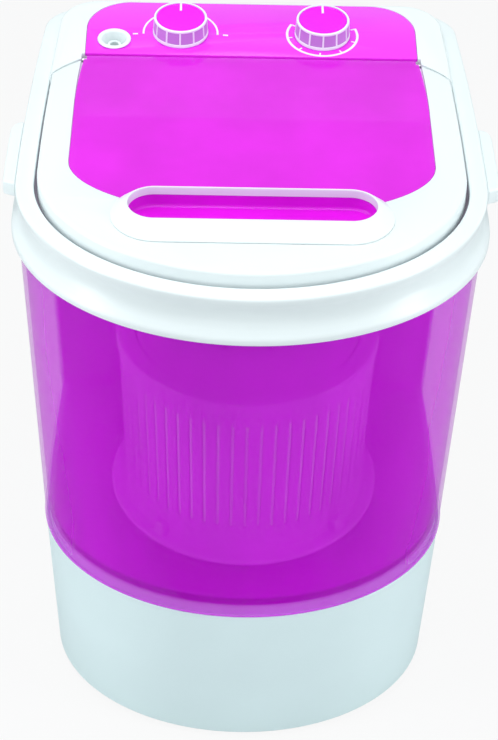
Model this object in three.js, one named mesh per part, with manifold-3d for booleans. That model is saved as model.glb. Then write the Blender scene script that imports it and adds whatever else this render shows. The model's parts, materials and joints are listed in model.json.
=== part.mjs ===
// A small top load washing machine: a see-through tub on a white motor base, with a spin basket inside,
// a collar with two carry handles, a hinged lid with a sunk finger grip, and a console behind the lid.
// Millimetres, +Z up, front towards -Y. The origin is the middle of the overall box, on the floor.
import * as THREE from "three";
import { mergeVertices } from "three/addons/utils/BufferGeometryUtils.js";
import Module from "manifold-3d";

const wasm = await Module();
wasm.setup();
const { PI, asin, cos, sin, sqrt, tan, max, min } = Math;

// ---- Driving dimensions -------------------------------------------------------------------------------

const GAP = 0.4; // clearance between pieces that seat on each other
const RUN = 0.4; // radial clearance round a turning piece
const FIT = 0.3; // clearance of a piece that is fixed on a shaft or in a seat
const FAR = 600; // reach of a cutting block, beyond the machine on every side

// Plan of the machine at the collar's rim, measured from its widest section
const HALF_WIDTH = 170;
const FRONT_DEPTH = 140;
const REAR_DEPTH = 243;
const REAR_CORNER = 32;
const SIDE_BOW = 2800; // radius of the gentle curve of each side
const WIDEST_Y = (FRONT_DEPTH - REAR_DEPTH) / 2;
const FRONT_STEPS = 18;
const SIDE_STEPS = 2;
const CORNER_STEPS = 4;

// Heights above the floor
const BASE_EDGE = 4;
const BASE_TOP = 140;
const TUB_HEIGHT = 284;
const TUB_TOP = BASE_TOP + TUB_HEIGHT;
const COLLAR_RISE = 28; // how far the collar stands above the tub's edge
const RIM_TOP = TUB_TOP + COLLAR_RISE;
const LID_RISE = 10; // how far the lid stands above the rim
const LID_TOP = RIM_TOP + LID_RISE;

const WALL = 3;

// Base and tub: how far each stands inside the rim's outline
const BASE_INSET_BOTTOM = 20;
const BASE_INSET_TOP = 13;
const TUB_INSET_TOP = 0.6;
const TUB_REAR = 151; // depth of the tub's own back wall, from the widest section
const TUB_CORNER = 15;
const TUB_BEAD = 1; // how far the bead at the tub's foot stands out
const TUB_FLOOR = BASE_TOP + 10; // underside of the tub's floor

// Collar
const LIP_OUT = 4; // how far the bottom lip stands outside the rim
const LIP_BOTTOM = TUB_TOP - 9;
const RIM_WIDTH = 13.4;
const LEDGE_WIDTH = 22;
const LEDGE_TOP = RIM_TOP - 6;
const DECK_REACH = 12; // how far the deck under the hinge goes past the tub's back wall

// Lid, measured from the widest section
const WINDOW_HALF = HALF_WIDTH - 38;
const WINDOW_TAPER = 4; // how far each side of the window draws in towards the hinge
const HINGE_HALF = WINDOW_HALF - WINDOW_TAPER;
const LID_INSET = 16;
const LID_REAR = TUB_REAR - 2;
const LID_CHAMFER_X = HINGE_HALF + 1;
const LID_CHAMFER_DEPTH = 20;
const LID_PLATE = 3;
const LID_SEAM = 1.2; // open gap between the lid's slanted corners and the console
const WINDOW_FRONT_Y = 10; // middle of the window's front curve
const WINDOW_FRONT_DEPTH = 65;
const WINDOW_BEND = 80; // where its sides start to draw in
const WINDOW_FLANGE = 4;
const HINGE_Y = LID_REAR + 3.5;
const HINGE_RADIUS = 3.5;
const HINGE_PIN_RADIUS = 1.6;
const HINGE_PIN_INSIDE = 14; // length of each pin that lies in the lid's barrel
const HINGE_PIN_OUTSIDE = 6;
const HINGE_Z = LID_TOP - HINGE_RADIUS;

// Finger grip in the lid
const GRIP_Y = -50.5;
const GRIP_HALF_LENGTH = 87.5;
const GRIP_HALF_WIDTH = 18.6;
const GRIP_DEPTH = 9.5;
const GRIP_FLOOR = LID_TOP - GRIP_DEPTH;
const GRIP_WALL = 2;
const BEZEL_FRONT = 20; // reach of the surround in front of the grip, beside it and behind it
const BEZEL_SIDE = 12;
const BEZEL_BACK = 7;
const BEZEL_HEIGHT = 6.5;

// Control console
const CONSOLE_FRONT = HINGE_Y + 4.5;
const CONSOLE_INSET = 14;
const CONSOLE_CORNER = 30;
const CONSOLE_TILT = (4.5 * PI) / 180;
const FASCIA_THICK = 2.5;
const FASCIA_HALF = HINGE_HALF - 0.5;
const FASCIA_DEPTH = REAR_DEPTH - CONSOLE_INSET - 3 - CONSOLE_FRONT;
const FASCIA_CORNER = 35;
const KNOB_X = 55;
const KNOB_BACK = 29; // from the console's front edge, along its slope
const KNOB_HEIGHT = 14.5;
const KNOB_BASE_RADIUS = 21.5;
const KNOB_TOP_RADIUS = 20.5;
const KNOB_FLUTES = 12;
const KNOB_FLUTE = 1.2; // depth of each flute
const CAP_RADIUS = 18.7;
const CAP_THICK = 1.6;
const SPINDLE_RADIUS = 3;
const SWITCH_SIZE = 38;
const SWITCH_HEIGHT = 24;
const INLET_X = -(HINGE_HALF - 22);
const INLET_BACK = 18.5;
const INLET_RADIUS = 11.2;
const INLET_DEPTH = 16;
const SPOUT_RADIUS = 4.4;
const SPOUT_Z = LEDGE_TOP - 15;

// Carry handles
const HANDLE_OUT = 9.5;
const HANDLE_LENGTH = 82;
const HANDLE_THICK = 12;
const HANDLE_TOP = RIM_TOP - 3;

// Basket and drive
const DRIVE_Y = 7;
const SHAFT_RADIUS = 7.6;
const BEARING_RADIUS = 16;
const BEARING_HEIGHT = 10;
const HOUSING_RADIUS = 21;
const HOUSING_DROP = 52; // how far the bearing housing hangs below the tub's floor
const FLANGE_RADIUS = 105;
const BASKET_BOTTOM = TUB_FLOOR + 16;
const BASKET_HEIGHT = 154;
const BASKET_TOP = BASKET_BOTTOM + BASKET_HEIGHT;
const BASKET_RADIUS_BOTTOM = 92;
const BASKET_RADIUS_TOP = 98;
const BASKET_WALL = 2.5;
const BASKET_RIM_WIDTH = 12;
const SLOTS = 56;
const SLOT_WIDTH = 3.5;
const SLOT_BOTTOM = BASKET_BOTTOM + 30;
const SLOT_TOP = BASKET_TOP - 12;
const BASKET_LID_THICK = 3;
const BOSS_RADIUS = 18; // the boss in the tub's floor that holds the shaft seal
const BOSS_TOP = TUB_FLOOR + 8;
const SEAL_RADIUS = 13;
const PULSATOR_BOTTOM = BOSS_TOP - 2; // its skirt hangs round the boss
const PULSATOR_RADIUS = 86;
const VANES = 4;
const PULLEY_WIDTH = 16;
const BIG_PULLEY_RADIUS = 58;
const SMALL_PULLEY_RADIUS = 16;
const GROOVE = 2; // depth of both pulleys' grooves
const BELT_THICK = 4;
const BELT_WIDTH = 8;
const BELT_CENTRES = 117;
const MOTOR_RADIUS = 45;
const MOTOR_TOP = BASE_TOP - 3;
const MOTOR_HEIGHT = 53;
const MOTOR_BOTTOM = MOTOR_TOP - MOTOR_HEIGHT;
const MOTOR_SHAFT_RADIUS = 5;
const PULLEY_Z = MOTOR_BOTTOM - 8 - PULLEY_WIDTH;
const SHAFT_BOTTOM = PULLEY_Z - 14;
const BRACKET_THICK = 3;

// Bottom, feet and fasteners
const COVER_INSET = 25.2;
const COVER_BOTTOM = 5;
const COVER_THICK = 3;
const VENT_FRONT = 85; // front end of the vent slots under the motor
const FOOT_RADIUS = 13;
const SCREW_HEAD = 4;
const SCREW_SHANK = 2;
const POST_RADIUS = 6;
const POST_TOP = 40;
const RIB = 3;
const DRAIN_X = -80;
const DRAIN_BACK = 95;
const DRAIN_PIPE = 9;
const DRAIN_OUTLET_Z = BASE_TOP - 24;
const DRAIN_BEND = 16;
const OUTLET_INSIDE = 22; // how far the outlet reaches in behind the base's back wall
const GLAND_X = 70;
const GLAND_Z = 60;
const GLAND_RADIUS = 6;

// ---- Materials ----------------------------------------------------------------------------------------

const finish = (color, roughness, metalness = 0) =>
  new THREE.MeshStandardMaterial({ color, roughness, metalness });
const WHITE = finish(0xf4f8f8, 0.35);
const MAGENTA = finish(0xd21ee0, 0.15);
MAGENTA.transparent = true;
MAGENTA.opacity = 0.6;
const BASKET_PINK = finish(0xe9a8f2, 0.4);
const KNOB_PINK = finish(0xf23cf2, 0.3);
const STEEL = finish(0xb8bcc0, 0.3, 1);
const DARK = finish(0x2a2a2c, 0.7);
const ALLOY = finish(0x9da1a5, 0.45, 1);
const MOTOR_GREY = finish(0x6c7278, 0.5, 0.6);

// ---- Shaping tools ------------------------------------------------------------------------------------

const v2 = (x, y) => new THREE.Vector2(x, y);
const rounds = (n, from, to) => Array.from({ length: n + 1 }, (_, i) => from + ((to - from) * i) / n);
const arc = (x, y, radius, from, to, steps) =>
  rounds(steps, from, to).map((a) => v2(x + radius * cos(a), y + radius * sin(a)));

// A geometry of loose triangles as a manifold-3d solid, with its faces pointing out.
function solid(geometry) {
  const loose = geometry.index ? geometry.toNonIndexed() : geometry.clone();
  Object.keys(loose.attributes).forEach((k) => k !== "position" && loose.deleteAttribute(k));
  const merged = mergeVertices(loose, 1e-4);
  const p = merged.attributes.position.array;
  const faces = [];
  for (let i = 0; i < merged.index.count; i += 3) {
    const [a, b, c] = merged.index.array.subarray(i, i + 3);
    if (a !== b && b !== c && a !== c) faces.push([a, b, c]);
  }
  const corner = (i) => new THREE.Vector3(p[3 * i], p[3 * i + 1], p[3 * i + 2]);
  const volume = faces.reduce((sum, [a, b, c]) => sum + corner(a).dot(corner(b).cross(corner(c))), 0);
  const triVerts = new Uint32Array(faces.flatMap(([a, b, c]) => (volume < 0 ? [a, c, b] : [a, b, c])));
  return new wasm.Manifold(new wasm.Mesh({ numProp: 3, vertProperties: p, triVerts }));
}

// A manifold-3d solid as a three.js geometry.
function geometryOf(made) {
  const m = made.getMesh();
  const position = new Float32Array(m.numVert * 3);
  for (let i = 0; i < m.numVert; i++) {
    const start = i * m.numProp;
    position.set(m.vertProperties.subarray(start, start + 3), 3 * i);
  }
  const indexed = new THREE.BufferGeometry();
  indexed.setAttribute("position", new THREE.BufferAttribute(position, 3));
  indexed.setIndex(new THREE.BufferAttribute(new Uint32Array(m.triVerts), 1));
  const flat = indexed.toNonIndexed();
  flat.computeVertexNormals();
  return flat;
}

const union = (...list) => list.reduce((a, b) => a.add(b));
const moved = (made, x, y, z) => made.translate([x, y, z]);

// An outline extruded from one height to another.
function prism(points, low, high) {
  const g = new THREE.ExtrudeGeometry(new THREE.Shape(points), { depth: high - low, bevelEnabled: false });
  return solid(g.translate(0, 0, low));
}

function block(x0, x1, y0, y1, z0, z1) {
  const g = new THREE.BoxGeometry(x1 - x0, y1 - y0, z1 - z0);
  return solid(g.translate((x0 + x1) / 2, (y0 + y1) / 2, (z0 + z1) / 2));
}

// A profile of [radius, height] pairs turned round the vertical axis.
function turned(profile, segments = 32) {
  const g = new THREE.LatheGeometry(profile.map(([r, z]) => v2(r, z)), segments);
  return solid(g.rotateX(PI / 2));
}

function rod(radius, low, high, segments = 24) {
  const profile = [
    [0, low],
    [radius, low],
    [radius, high],
    [0, high],
  ];
  return turned(profile, segments);
}

// A rod along X or along Y, centred on the other two coordinates.
const rodAlongX = (radius, x0, x1, y, z, segments = 16) =>
  moved(rod(radius, x0, x1, segments).rotate([0, 90, 0]), 0, y, z);
const rodAlongY = (radius, y0, y1, x, z, segments = 16) =>
  moved(rod(radius, -y1, -y0, segments).rotate([90, 0, 0]), x, 0, z);

// Rings of points, all of one length, skinned one to the next. A closed run of rings is a hoop with no caps.
function skin(rings, closed) {
  const n = rings[0].length;
  const triangles = [];
  const put = (...corners) => corners.forEach((c) => triangles.push(c.x, c.y, c.z));
  for (let k = 0; k < rings.length - (closed ? 0 : 1); k++) {
    const a = rings[k];
    const b = rings[(k + 1) % rings.length];
    for (let i = 0; i < n; i++) {
      const j = (i + 1) % n;
      put(a[i], a[j], b[j]);
      put(a[i], b[j], b[i]);
    }
  }
  if (!closed) {
    const cap = (ring, flip) =>
      THREE.ShapeUtils.triangulateShape(ring.map((p) => v2(p.x, p.y)), []).forEach(([i, j, k]) =>
        flip ? put(ring[i], ring[k], ring[j]) : put(ring[i], ring[j], ring[k]),
      );
    cap(rings[0], true);
    cap(rings[rings.length - 1], false);
  }
  const g = new THREE.BufferGeometry();
  g.setAttribute("position", new THREE.Float32BufferAttribute(triangles, 3));
  return solid(g);
}

// An outline raised to a height, or to a height that depends on the point.
function lift(points, z) {
  const height = typeof z === "function" ? z : () => z;
  return points.map((p) => new THREE.Vector3(p.x, p.y, height(p)));
}

const counterClockwise = (points) => (THREE.ShapeUtils.isClockWise(points) ? [...points].reverse() : points);

// Outlines at given heights, joined into one solid.
const stack = (sections) => skin(sections.map(([points, z]) => lift(counterClockwise(points), z)), false);

// A closed profile of [inset, height] led round an outline.
const hoop = (profile, outline) => skin(profile.map(([inset, z]) => lift(outline(inset), z)), true);

// ---- Outlines -----------------------------------------------------------------------------------------

const mirrored = (points) => points.map((p) => v2(-p.x, p.y)).reverse();
const sideX = (inset, y) => HALF_WIDTH - inset - (y * y) / (2 * SIDE_BOW);

// The front curve and both sides back to y = end, from the left end round to the right one.
function frontAndSides(inset, end) {
  const front = rounds(FRONT_STEPS, -PI, 0).map((a) =>
    v2((HALF_WIDTH - inset) * cos(a), (FRONT_DEPTH - inset) * sin(a)),
  );
  const side = rounds(SIDE_STEPS, 0, end).slice(1).map((y) => v2(sideX(inset, y), y));
  return [...mirrored(side), ...front, ...side];
}

// The plan with round corners behind, standing `inset` inside the rim's outline.
function plan(inset, rear = REAR_DEPTH, corner = REAR_CORNER) {
  const radius = max(corner - inset, 4);
  const end = rear - inset - radius;
  const right = arc(sideX(inset, end) - radius, end, radius, 0, PI / 2, CORNER_STEPS).slice(1);
  return [...frontAndSides(inset, end), ...right, ...mirrored(right)];
}

const bodyInset = (z) =>
  TUB_INSET_TOP + ((TUB_TOP - z) * (BASE_INSET_TOP - TUB_INSET_TOP)) / (TUB_TOP - BASE_TOP);

// The tub's outline at a height, or a line inside it: its back wall is upright.
const tubPlan = (z, inward = 0) => {
  const lean = bodyInset(z);
  return plan(lean + inward, TUB_REAR + lean, TUB_CORNER + lean);
};

// The room that a rim running round the machine leaves for the tub's wall where it crosses that rim.
const tubWallRoom = (low, high, bead = 0) =>
  stack([
    [tubPlan(low, -GAP - bead), low],
    [tubPlan(high, -GAP - bead), high],
  ]).subtract(
    stack([
      [tubPlan(low - 1, WALL + GAP), low - 1],
      [tubPlan(high + 1, WALL + GAP), high + 1],
    ]),
  );

// The lid's right rear corner, cut off on a slightly bowed slant, from the side to the rear edge.
function lidCorner(inset) {
  const rear = LID_REAR - (inset - LID_INSET);
  const start = rear - LID_CHAMFER_DEPTH;
  const from = v2(sideX(inset, start), start);
  const to = v2(LID_CHAMFER_X - (inset - LID_INSET), rear);
  const bulge = v2((from.x + to.x) / 2 + 2, (from.y + to.y) / 2 + 2);
  return new THREE.QuadraticBezierCurve(from, bulge, to).getPoints(4);
}
function lidPlan(inset) {
  const corner = lidCorner(inset);
  const right = corner.slice(1);
  return [...frontAndSides(inset, corner[0].y), ...right, ...mirrored(right)];
}

// The lid's window: an elliptical front edge and sides that draw in a little towards the hinge.
function windowPlan(grow, rear) {
  const half = WINDOW_HALF + grow;
  const front = rounds(16, -PI, 0).map((a) =>
    v2(half * cos(a), WINDOW_FRONT_Y + (WINDOW_FRONT_DEPTH + grow) * sin(a)),
  );
  const end = HINGE_HALF + grow;
  return [...front, v2(half, WINDOW_BEND), v2(end, rear), v2(-end, rear), v2(-half, WINDOW_BEND)];
}

// A bar with round ends, about the finger grip's middle.
function pill(halfLength, halfWidth, steps = 8) {
  const x = halfLength - halfWidth;
  return [
    ...arc(x, GRIP_Y, halfWidth, -PI / 2, PI / 2, steps),
    ...arc(-x, GRIP_Y, halfWidth, PI / 2, (3 * PI) / 2, steps),
  ];
}
const grip = (grow) => pill(GRIP_HALF_LENGTH + grow, GRIP_HALF_WIDTH + grow);

// ---- Groups -------------------------------------------------------------------------------------------

const machine = new THREE.Group();
const body = new THREE.Group(); // everything is placed from the plan's widest section
body.position.y = WIDEST_Y;
machine.add(body);
const drive = new THREE.Group();
drive.position.y = DRIVE_Y;
const console_ = new THREE.Group(); // the console's top face, along its slope
console_.position.set(0, CONSOLE_FRONT, LID_TOP);
console_.rotation.x = CONSOLE_TILT;
body.add(drive, console_);

function add(name, made, material, group = body) {
  const mesh = new THREE.Mesh(geometryOf(made), material);
  mesh.name = name;
  group.add(mesh);
}

// A solid drawn on the console's sloping top face, in the body's frame.
function onConsole(made) {
  return made.rotate([(CONSOLE_TILT * 180) / PI, 0, 0]).translate([0, CONSOLE_FRONT, LID_TOP]);
}

// ---- Base, bottom cover and feet ----------------------------------------------------------------------

const SPIGOT_TOP = TUB_FLOOR - 3;
const spigotInset = bodyInset(BASE_TOP) + WALL + 0.6;
const postFront = [HALF_WIDTH - 65, 78 - FRONT_DEPTH];
const postRear = [HALF_WIDTH - 58, REAR_DEPTH - 68];
const footEdge = 41.32; // how far a front foot's middle stands inside the rim's front curve
const footY = 68 - FRONT_DEPTH;
const footFront = [(HALF_WIDTH - footEdge) * sqrt(1 - (footY / (FRONT_DEPTH - footEdge)) ** 2), footY];
const footRear = [HALF_WIDTH - 78, REAR_DEPTH - 47];
const leftOf = ([x, y]) => [-x, y];
const coverPosts = [leftOf(postFront), postFront, leftOf(postRear), postRear];
const footPlaces = {
  front_left: leftOf(footFront),
  front_right: footFront,
  rear_left: leftOf(footRear),
  rear_right: footRear,
};

function baseHousing() {
  const shell = hoop(
    [
      [BASE_INSET_BOTTOM + 4, BASE_EDGE],
      [BASE_INSET_BOTTOM + 1.4, BASE_EDGE + 1.6],
      [BASE_INSET_BOTTOM, BASE_EDGE + 6],
      [BASE_INSET_TOP + 0.2, BASE_TOP - GAP],
      [spigotInset, BASE_TOP - GAP],
      [spigotInset, SPIGOT_TOP],
      [spigotInset + 2.4, SPIGOT_TOP],
      [spigotInset + 2.8, BASE_TOP - 6],
      [BASE_INSET_BOTTOM + WALL, 14],
      [BASE_INSET_BOTTOM + 4.6, 10],
      [BASE_INSET_BOTTOM + 4.6, BASE_EDGE],
    ],
    plan,
  );
  const foot = COVER_BOTTOM + COVER_THICK + GAP;
  const inside = prism(plan(BASE_INSET_BOTTOM + WALL / 2), 0, POST_TOP + 1);
  const posts = coverPosts.map(([x, y]) => {
    const wall = Math.sign(x) * HALF_WIDTH;
    const rib = block(min(x, wall), max(x, wall), y - RIB / 2, y + RIB / 2, foot, POST_TOP);
    return union(moved(rod(POST_RADIUS, foot, POST_TOP, 12), x, y, 0), rib).intersect(inside);
  });
  const holes = coverPosts.map(([x, y]) => moved(rod(SCREW_SHANK + GAP, 0, 30, 12), x, y, 0));
  const rearHoles = [
    rodAlongY(DRAIN_PIPE + 1 + GAP, REAR_DEPTH - 43, FAR, DRAIN_X, DRAIN_OUTLET_Z, 20),
    rodAlongY(GLAND_RADIUS + GAP, REAR_DEPTH - 43, FAR, GLAND_X, GLAND_Z, 20),
  ];
  const room = tubWallRoom(BASE_TOP - GAP, SPIGOT_TOP + 5, TUB_BEAD);
  return union(shell, ...posts).subtract(union(...holes, ...rearHoles, room));
}

function bottomCover() {
  const plate = prism(plan(COVER_INSET), COVER_BOTTOM, COVER_BOTTOM + COVER_THICK);
  const holes = coverPosts.map(([x, y]) => moved(rod(SCREW_SHANK + GAP, 0, 30, 12), x, y, 0));
  const vents = rounds(6, -36, 36).map((x) => block(x - 2.5, x + 2.5, VENT_FRONT, VENT_FRONT + 60, 0, 20));
  return plate.subtract(union(...holes, ...vents));
}

// A pan-head screw pointing up, the underside of its head at z = 0.
function screw(length) {
  const profile = [
    [0, -2],
    [SCREW_HEAD - 1.2, -2],
    [SCREW_HEAD, -0.8],
    [SCREW_HEAD, 0],
    [SCREW_SHANK, 0],
    [SCREW_SHANK, length],
    [0, length],
  ];
  return turned(profile, 8);
}

function foot() {
  const top = COVER_BOTTOM - GAP;
  const profile = [
    [0, 0],
    [FOOT_RADIUS - 2, 0],
    [FOOT_RADIUS, 1.6],
    [FOOT_RADIUS - 1, top],
    [0, top],
  ];
  return turned(profile, 16);
}

add("base_housing", baseHousing(), WHITE);
add("bottom_cover", bottomCover(), WHITE);
Object.entries(footPlaces).forEach(([name, [x, y]]) => add(`foot_${name}`, moved(foot(), x, y, 0), DARK));
coverPosts.forEach(([x, y], i) => {
  add(`cover_screw_${i + 1}`, moved(screw(18), x, y, COVER_BOTTOM - GAP), STEEL);
});

// ---- Tub, filter and rear cover -----------------------------------------------------------------------

const tubFloorTop = TUB_FLOOR + WALL;
const boxBehind = (y) => block(-FAR, FAR, y, FAR, 0, FAR);

const tubInside = () =>
  stack([
    [tubPlan(tubFloorTop, WALL + 6), tubFloorTop],
    [tubPlan(tubFloorTop + 8, WALL), tubFloorTop + 8],
    [tubPlan(TUB_TOP + 10, WALL), TUB_TOP + 10],
  ]);

function outerTub() {
  const foot = BASE_TOP;
  const outer = stack([
    [tubPlan(foot, -TUB_BEAD), foot],
    [tubPlan(foot + 4, -TUB_BEAD), foot + 3.4],
    [tubPlan(foot + 5), foot + 4.6],
    [tubPlan(TUB_TOP), TUB_TOP],
  ]);
  const under = stack([
    [tubPlan(foot - 5, WALL), foot - 5],
    [tubPlan(TUB_FLOOR, WALL), TUB_FLOOR],
  ]);
  const boss = moved(rod(BOSS_RADIUS, TUB_FLOOR, BOSS_TOP, 20), 0, DRIVE_Y, 0);
  const posts = [-50, 50].map((x) =>
    moved(rod(5, MOTOR_TOP + BRACKET_THICK + GAP, TUB_FLOOR + 1, 10), x, DRIVE_Y + BELT_CENTRES - 10, 0),
  );
  const bore = moved(rod(SEAL_RADIUS + RUN, TUB_FLOOR - 20, TUB_FLOOR + 20, 20), 0, DRIVE_Y, 0);
  const drain = moved(rod(DRAIN_PIPE, TUB_FLOOR - 20, TUB_FLOOR + 20, 16), DRAIN_X, DRAIN_BACK, 0);
  const shell = outer.subtract(union(tubInside(), under));
  return union(shell, boss, ...posts).subtract(union(bore, drain));
}

// The cover behind the tub: it carries on the tub's outline and closes the wiring space.
const COVER_START = TUB_REAR - 4;
const screwX = HALF_WIDTH - 52;
const rearScrews = [
  [-screwX, BASE_TOP + 25],
  [screwX, BASE_TOP + 25],
  [-screwX, TUB_TOP - 29],
  [screwX, TUB_TOP - 29],
];

function rearCover() {
  const foot = BASE_TOP;
  const outer = stack([
    [plan(bodyInset(foot)), foot],
    [plan(bodyInset(TUB_TOP)), TUB_TOP],
  ]);
  const inner = stack([
    [plan(bodyInset(foot - 10) + WALL), foot - 10],
    [plan(bodyInset(TUB_TOP + 10) + WALL), TUB_TOP + 10],
  ]);
  const behind = REAR_DEPTH - 43;
  const vents = rounds(5, BASE_TOP + 50, BASE_TOP + 100).map((z) => block(-45, 45, behind, FAR, z, z + 4));
  const holes = rearScrews.map(([x, z]) => rodAlongY(SCREW_SHANK + GAP, behind, FAR, x, z, 12));
  const room = tubWallRoom(foot - 1, foot + 6, TUB_BEAD);
  return outer.subtract(inner).intersect(boxBehind(COVER_START)).subtract(union(...vents, ...holes, room));
}

// The lint filter's cover on the tub's back wall, a shallow trapezium.
const FILTER_TOP = TUB_TOP - 48;
const FILTER_HALF = 80;
const FILTER_HEIGHT = 76;
const wallFace = TUB_REAR - WALL - GAP;
function filterCover() {
  const half = FILTER_HALF;
  const right = [v2(half, -FILTER_HEIGHT), v2(half, -16), v2(half - 30, 0)];
  const flat = prism([...right, ...mirrored(right)], 0, 9);
  const upright = flat.rotate([90, 0, 0]).translate([0, wallFace, FILTER_TOP]);
  const slots = rounds(6, -54, 54).map((x) =>
    block(x - 3, x + 3, wallFace - 20, wallFace - 2.5, FILTER_TOP - 68, FILTER_TOP - 26),
  );
  return upright.subtract(union(...slots));
}

add("outer_tub", outerTub(), MAGENTA);
add("rear_cover", rearCover(), WHITE);
add("filter_cover", filterCover(), MAGENTA);
rearScrews.forEach(([x, z], i) => {
  const face = REAR_DEPTH - bodyInset(z);
  add(`rear_cover_screw_${i + 1}`, moved(screw(12).rotate([90, 0, 0]), x, face + GAP, z), STEEL);
});
const wallPlug = block(-4, 4, -2.2, 0, -4, 4);
add("wall_plug_left", moved(wallPlug, -FILTER_HALF, wallFace, TUB_TOP - 20), DARK);
add("wall_plug_right", moved(wallPlug, FILTER_HALF, wallFace, TUB_TOP - 20), DARK);

// ---- Collar and carry handles -------------------------------------------------------------------------

function topCollar() {
  const hook = bodyInset(TUB_TOP) + WALL + 1;
  const ring = hoop(
    [
      [-LIP_OUT, LIP_BOTTOM],
      [-LIP_OUT, LIP_BOTTOM + 4],
      [-LIP_OUT + 1.6, LIP_BOTTOM + 7.5],
      [3, TUB_TOP + 5],
      [3.6, RIM_TOP - 14],
      [0.4, RIM_TOP - 6],
      [0, RIM_TOP - 2.6],
      [2.4, RIM_TOP],
      [RIM_WIDTH, RIM_TOP],
      [RIM_WIDTH, LEDGE_TOP],
      [LEDGE_WIDTH, LEDGE_TOP],
      [LEDGE_WIDTH, LEDGE_TOP - WALL],
      [hook + 2.6, LEDGE_TOP - WALL],
      [hook + 2.6, LIP_BOTTOM - 3],
      [hook, LIP_BOTTOM - 3],
      [hook, TUB_TOP + GAP],
      [0, TUB_TOP + GAP],
      [-LIP_OUT + 2.6, TUB_TOP - 3],
      [-LIP_OUT + 2.6, LIP_BOTTOM],
    ],
    plan,
  );
  const within = prism(plan(hook + 1), LIP_BOTTOM - 3, LEDGE_TOP);
  const deck = block(-FAR, FAR, wallFace - 5, TUB_REAR + DECK_REACH, LEDGE_TOP - WALL, LEDGE_TOP);
  const apron = block(-FAR, FAR, wallFace - 2.6, wallFace, LIP_BOTTOM - 3, LEDGE_TOP);
  const spoutHole = rodAlongY(SPOUT_RADIUS + GAP, wallFace - 10, wallFace + 5, INLET_X, SPOUT_Z);
  const cuts = union(tubWallRoom(LIP_BOTTOM - 10, TUB_TOP + GAP), spoutHole);
  return union(ring, union(deck, apron).intersect(within)).subtract(cuts);
}

// One handle: a ledge that stands off the collar's side, over the channel that the fingers reach into.
function carryHandle(side) {
  const ends = [-2, HANDLE_LENGTH - 2];
  const outline = (inset) => {
    const inner = rounds(4, ends[0], ends[1]).map((y) => v2(sideX(0, y) + GAP, y));
    const bulge = rounds(4, ends[1] - 12, ends[0] + 4).map((y) => v2(sideX(inset - HANDLE_OUT, y), y));
    return [...inner, ...bulge].map((p) => v2(side * p.x, p.y));
  };
  const low = HANDLE_TOP - HANDLE_THICK;
  return stack([
    [outline(1), low],
    [outline(0), low + 1.5],
    [outline(0), HANDLE_TOP - 2],
    [outline(1.6), HANDLE_TOP],
  ]);
}

add("top_collar", topCollar(), WHITE);
add("carry_handle_left", carryHandle(-1), WHITE);
add("carry_handle_right", carryHandle(1), WHITE);

// ---- Lid ----------------------------------------------------------------------------------------------

const lidPlateBottom = LID_TOP - LID_PLATE;
const windowRear = LID_REAR - 0.2;

function lidFrame() {
  const foot = LEDGE_TOP + GAP;
  const outer = stack([
    [lidPlan(LID_INSET), foot],
    [lidPlan(LID_INSET), LID_TOP - 1.6],
    [lidPlan(LID_INSET + 1.4), LID_TOP],
  ]);
  const hollow = prism(lidPlan(LID_INSET + 2.5), foot - 5, lidPlateBottom);
  const opening = union(
    prism(windowPlan(GAP, LID_REAR + 20), lidPlateBottom - 1, LID_TOP + 5),
    prism(grip(GRIP_WALL + GAP + 1), lidPlateBottom - 10, LID_TOP + 5),
  );
  const flange = union(
    prism(windowPlan(WINDOW_FLANGE, LID_REAR - 1.5), lidPlateBottom - WALL, lidPlateBottom + 0.5),
    prism(grip(WINDOW_FLANGE + 5), lidPlateBottom - WALL, lidPlateBottom + 0.5),
  );
  const through = union(
    prism(windowPlan(-WINDOW_FLANGE, LID_REAR - 8), lidPlateBottom - 10, LID_TOP + 5),
    prism(grip(GRIP_WALL + GAP), lidPlateBottom - 10, LID_TOP + 5),
  );
  const rest = union(
    prism(windowPlan(GAP, LID_REAR + 20), lidPlateBottom - GAP, LID_TOP + 5),
    prism(grip(GRIP_WALL + GAP + 1), lidPlateBottom - GAP, LID_TOP + 5),
  );
  const plate = outer.subtract(union(hollow, opening));
  return union(plate, flange.intersect(outer)).subtract(union(through, rest));
}

function lidWindow() {
  const plate = union(
    prism(windowPlan(0, windowRear), lidPlateBottom, LID_TOP),
    prism(grip(GRIP_WALL + 1), lidPlateBottom, LID_TOP),
  );
  const pocket = prism(grip(GRIP_WALL), GRIP_FLOOR - GRIP_WALL, LID_TOP);
  const barrel = union(
    rodAlongX(HINGE_RADIUS, -HINGE_HALF + 2, HINGE_HALF - 2, HINGE_Y, HINGE_Z, 16),
    block(-HINGE_HALF + 2, HINGE_HALF - 2, LID_REAR - 2, HINGE_Y, lidPlateBottom, LID_TOP),
  );
  const bores = [-1, 1].map((side) => {
    const end = side * (HINGE_HALF + 1);
    const start = side * (HINGE_HALF - 2 - HINGE_PIN_INSIDE);
    return rodAlongX(HINGE_PIN_RADIUS + RUN, min(start, end), max(start, end), HINGE_Y, HINGE_Z, 12);
  });
  return union(plate, pocket, barrel).subtract(union(prism(grip(0), GRIP_FLOOR, LID_TOP + 5), ...bores));
}

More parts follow.
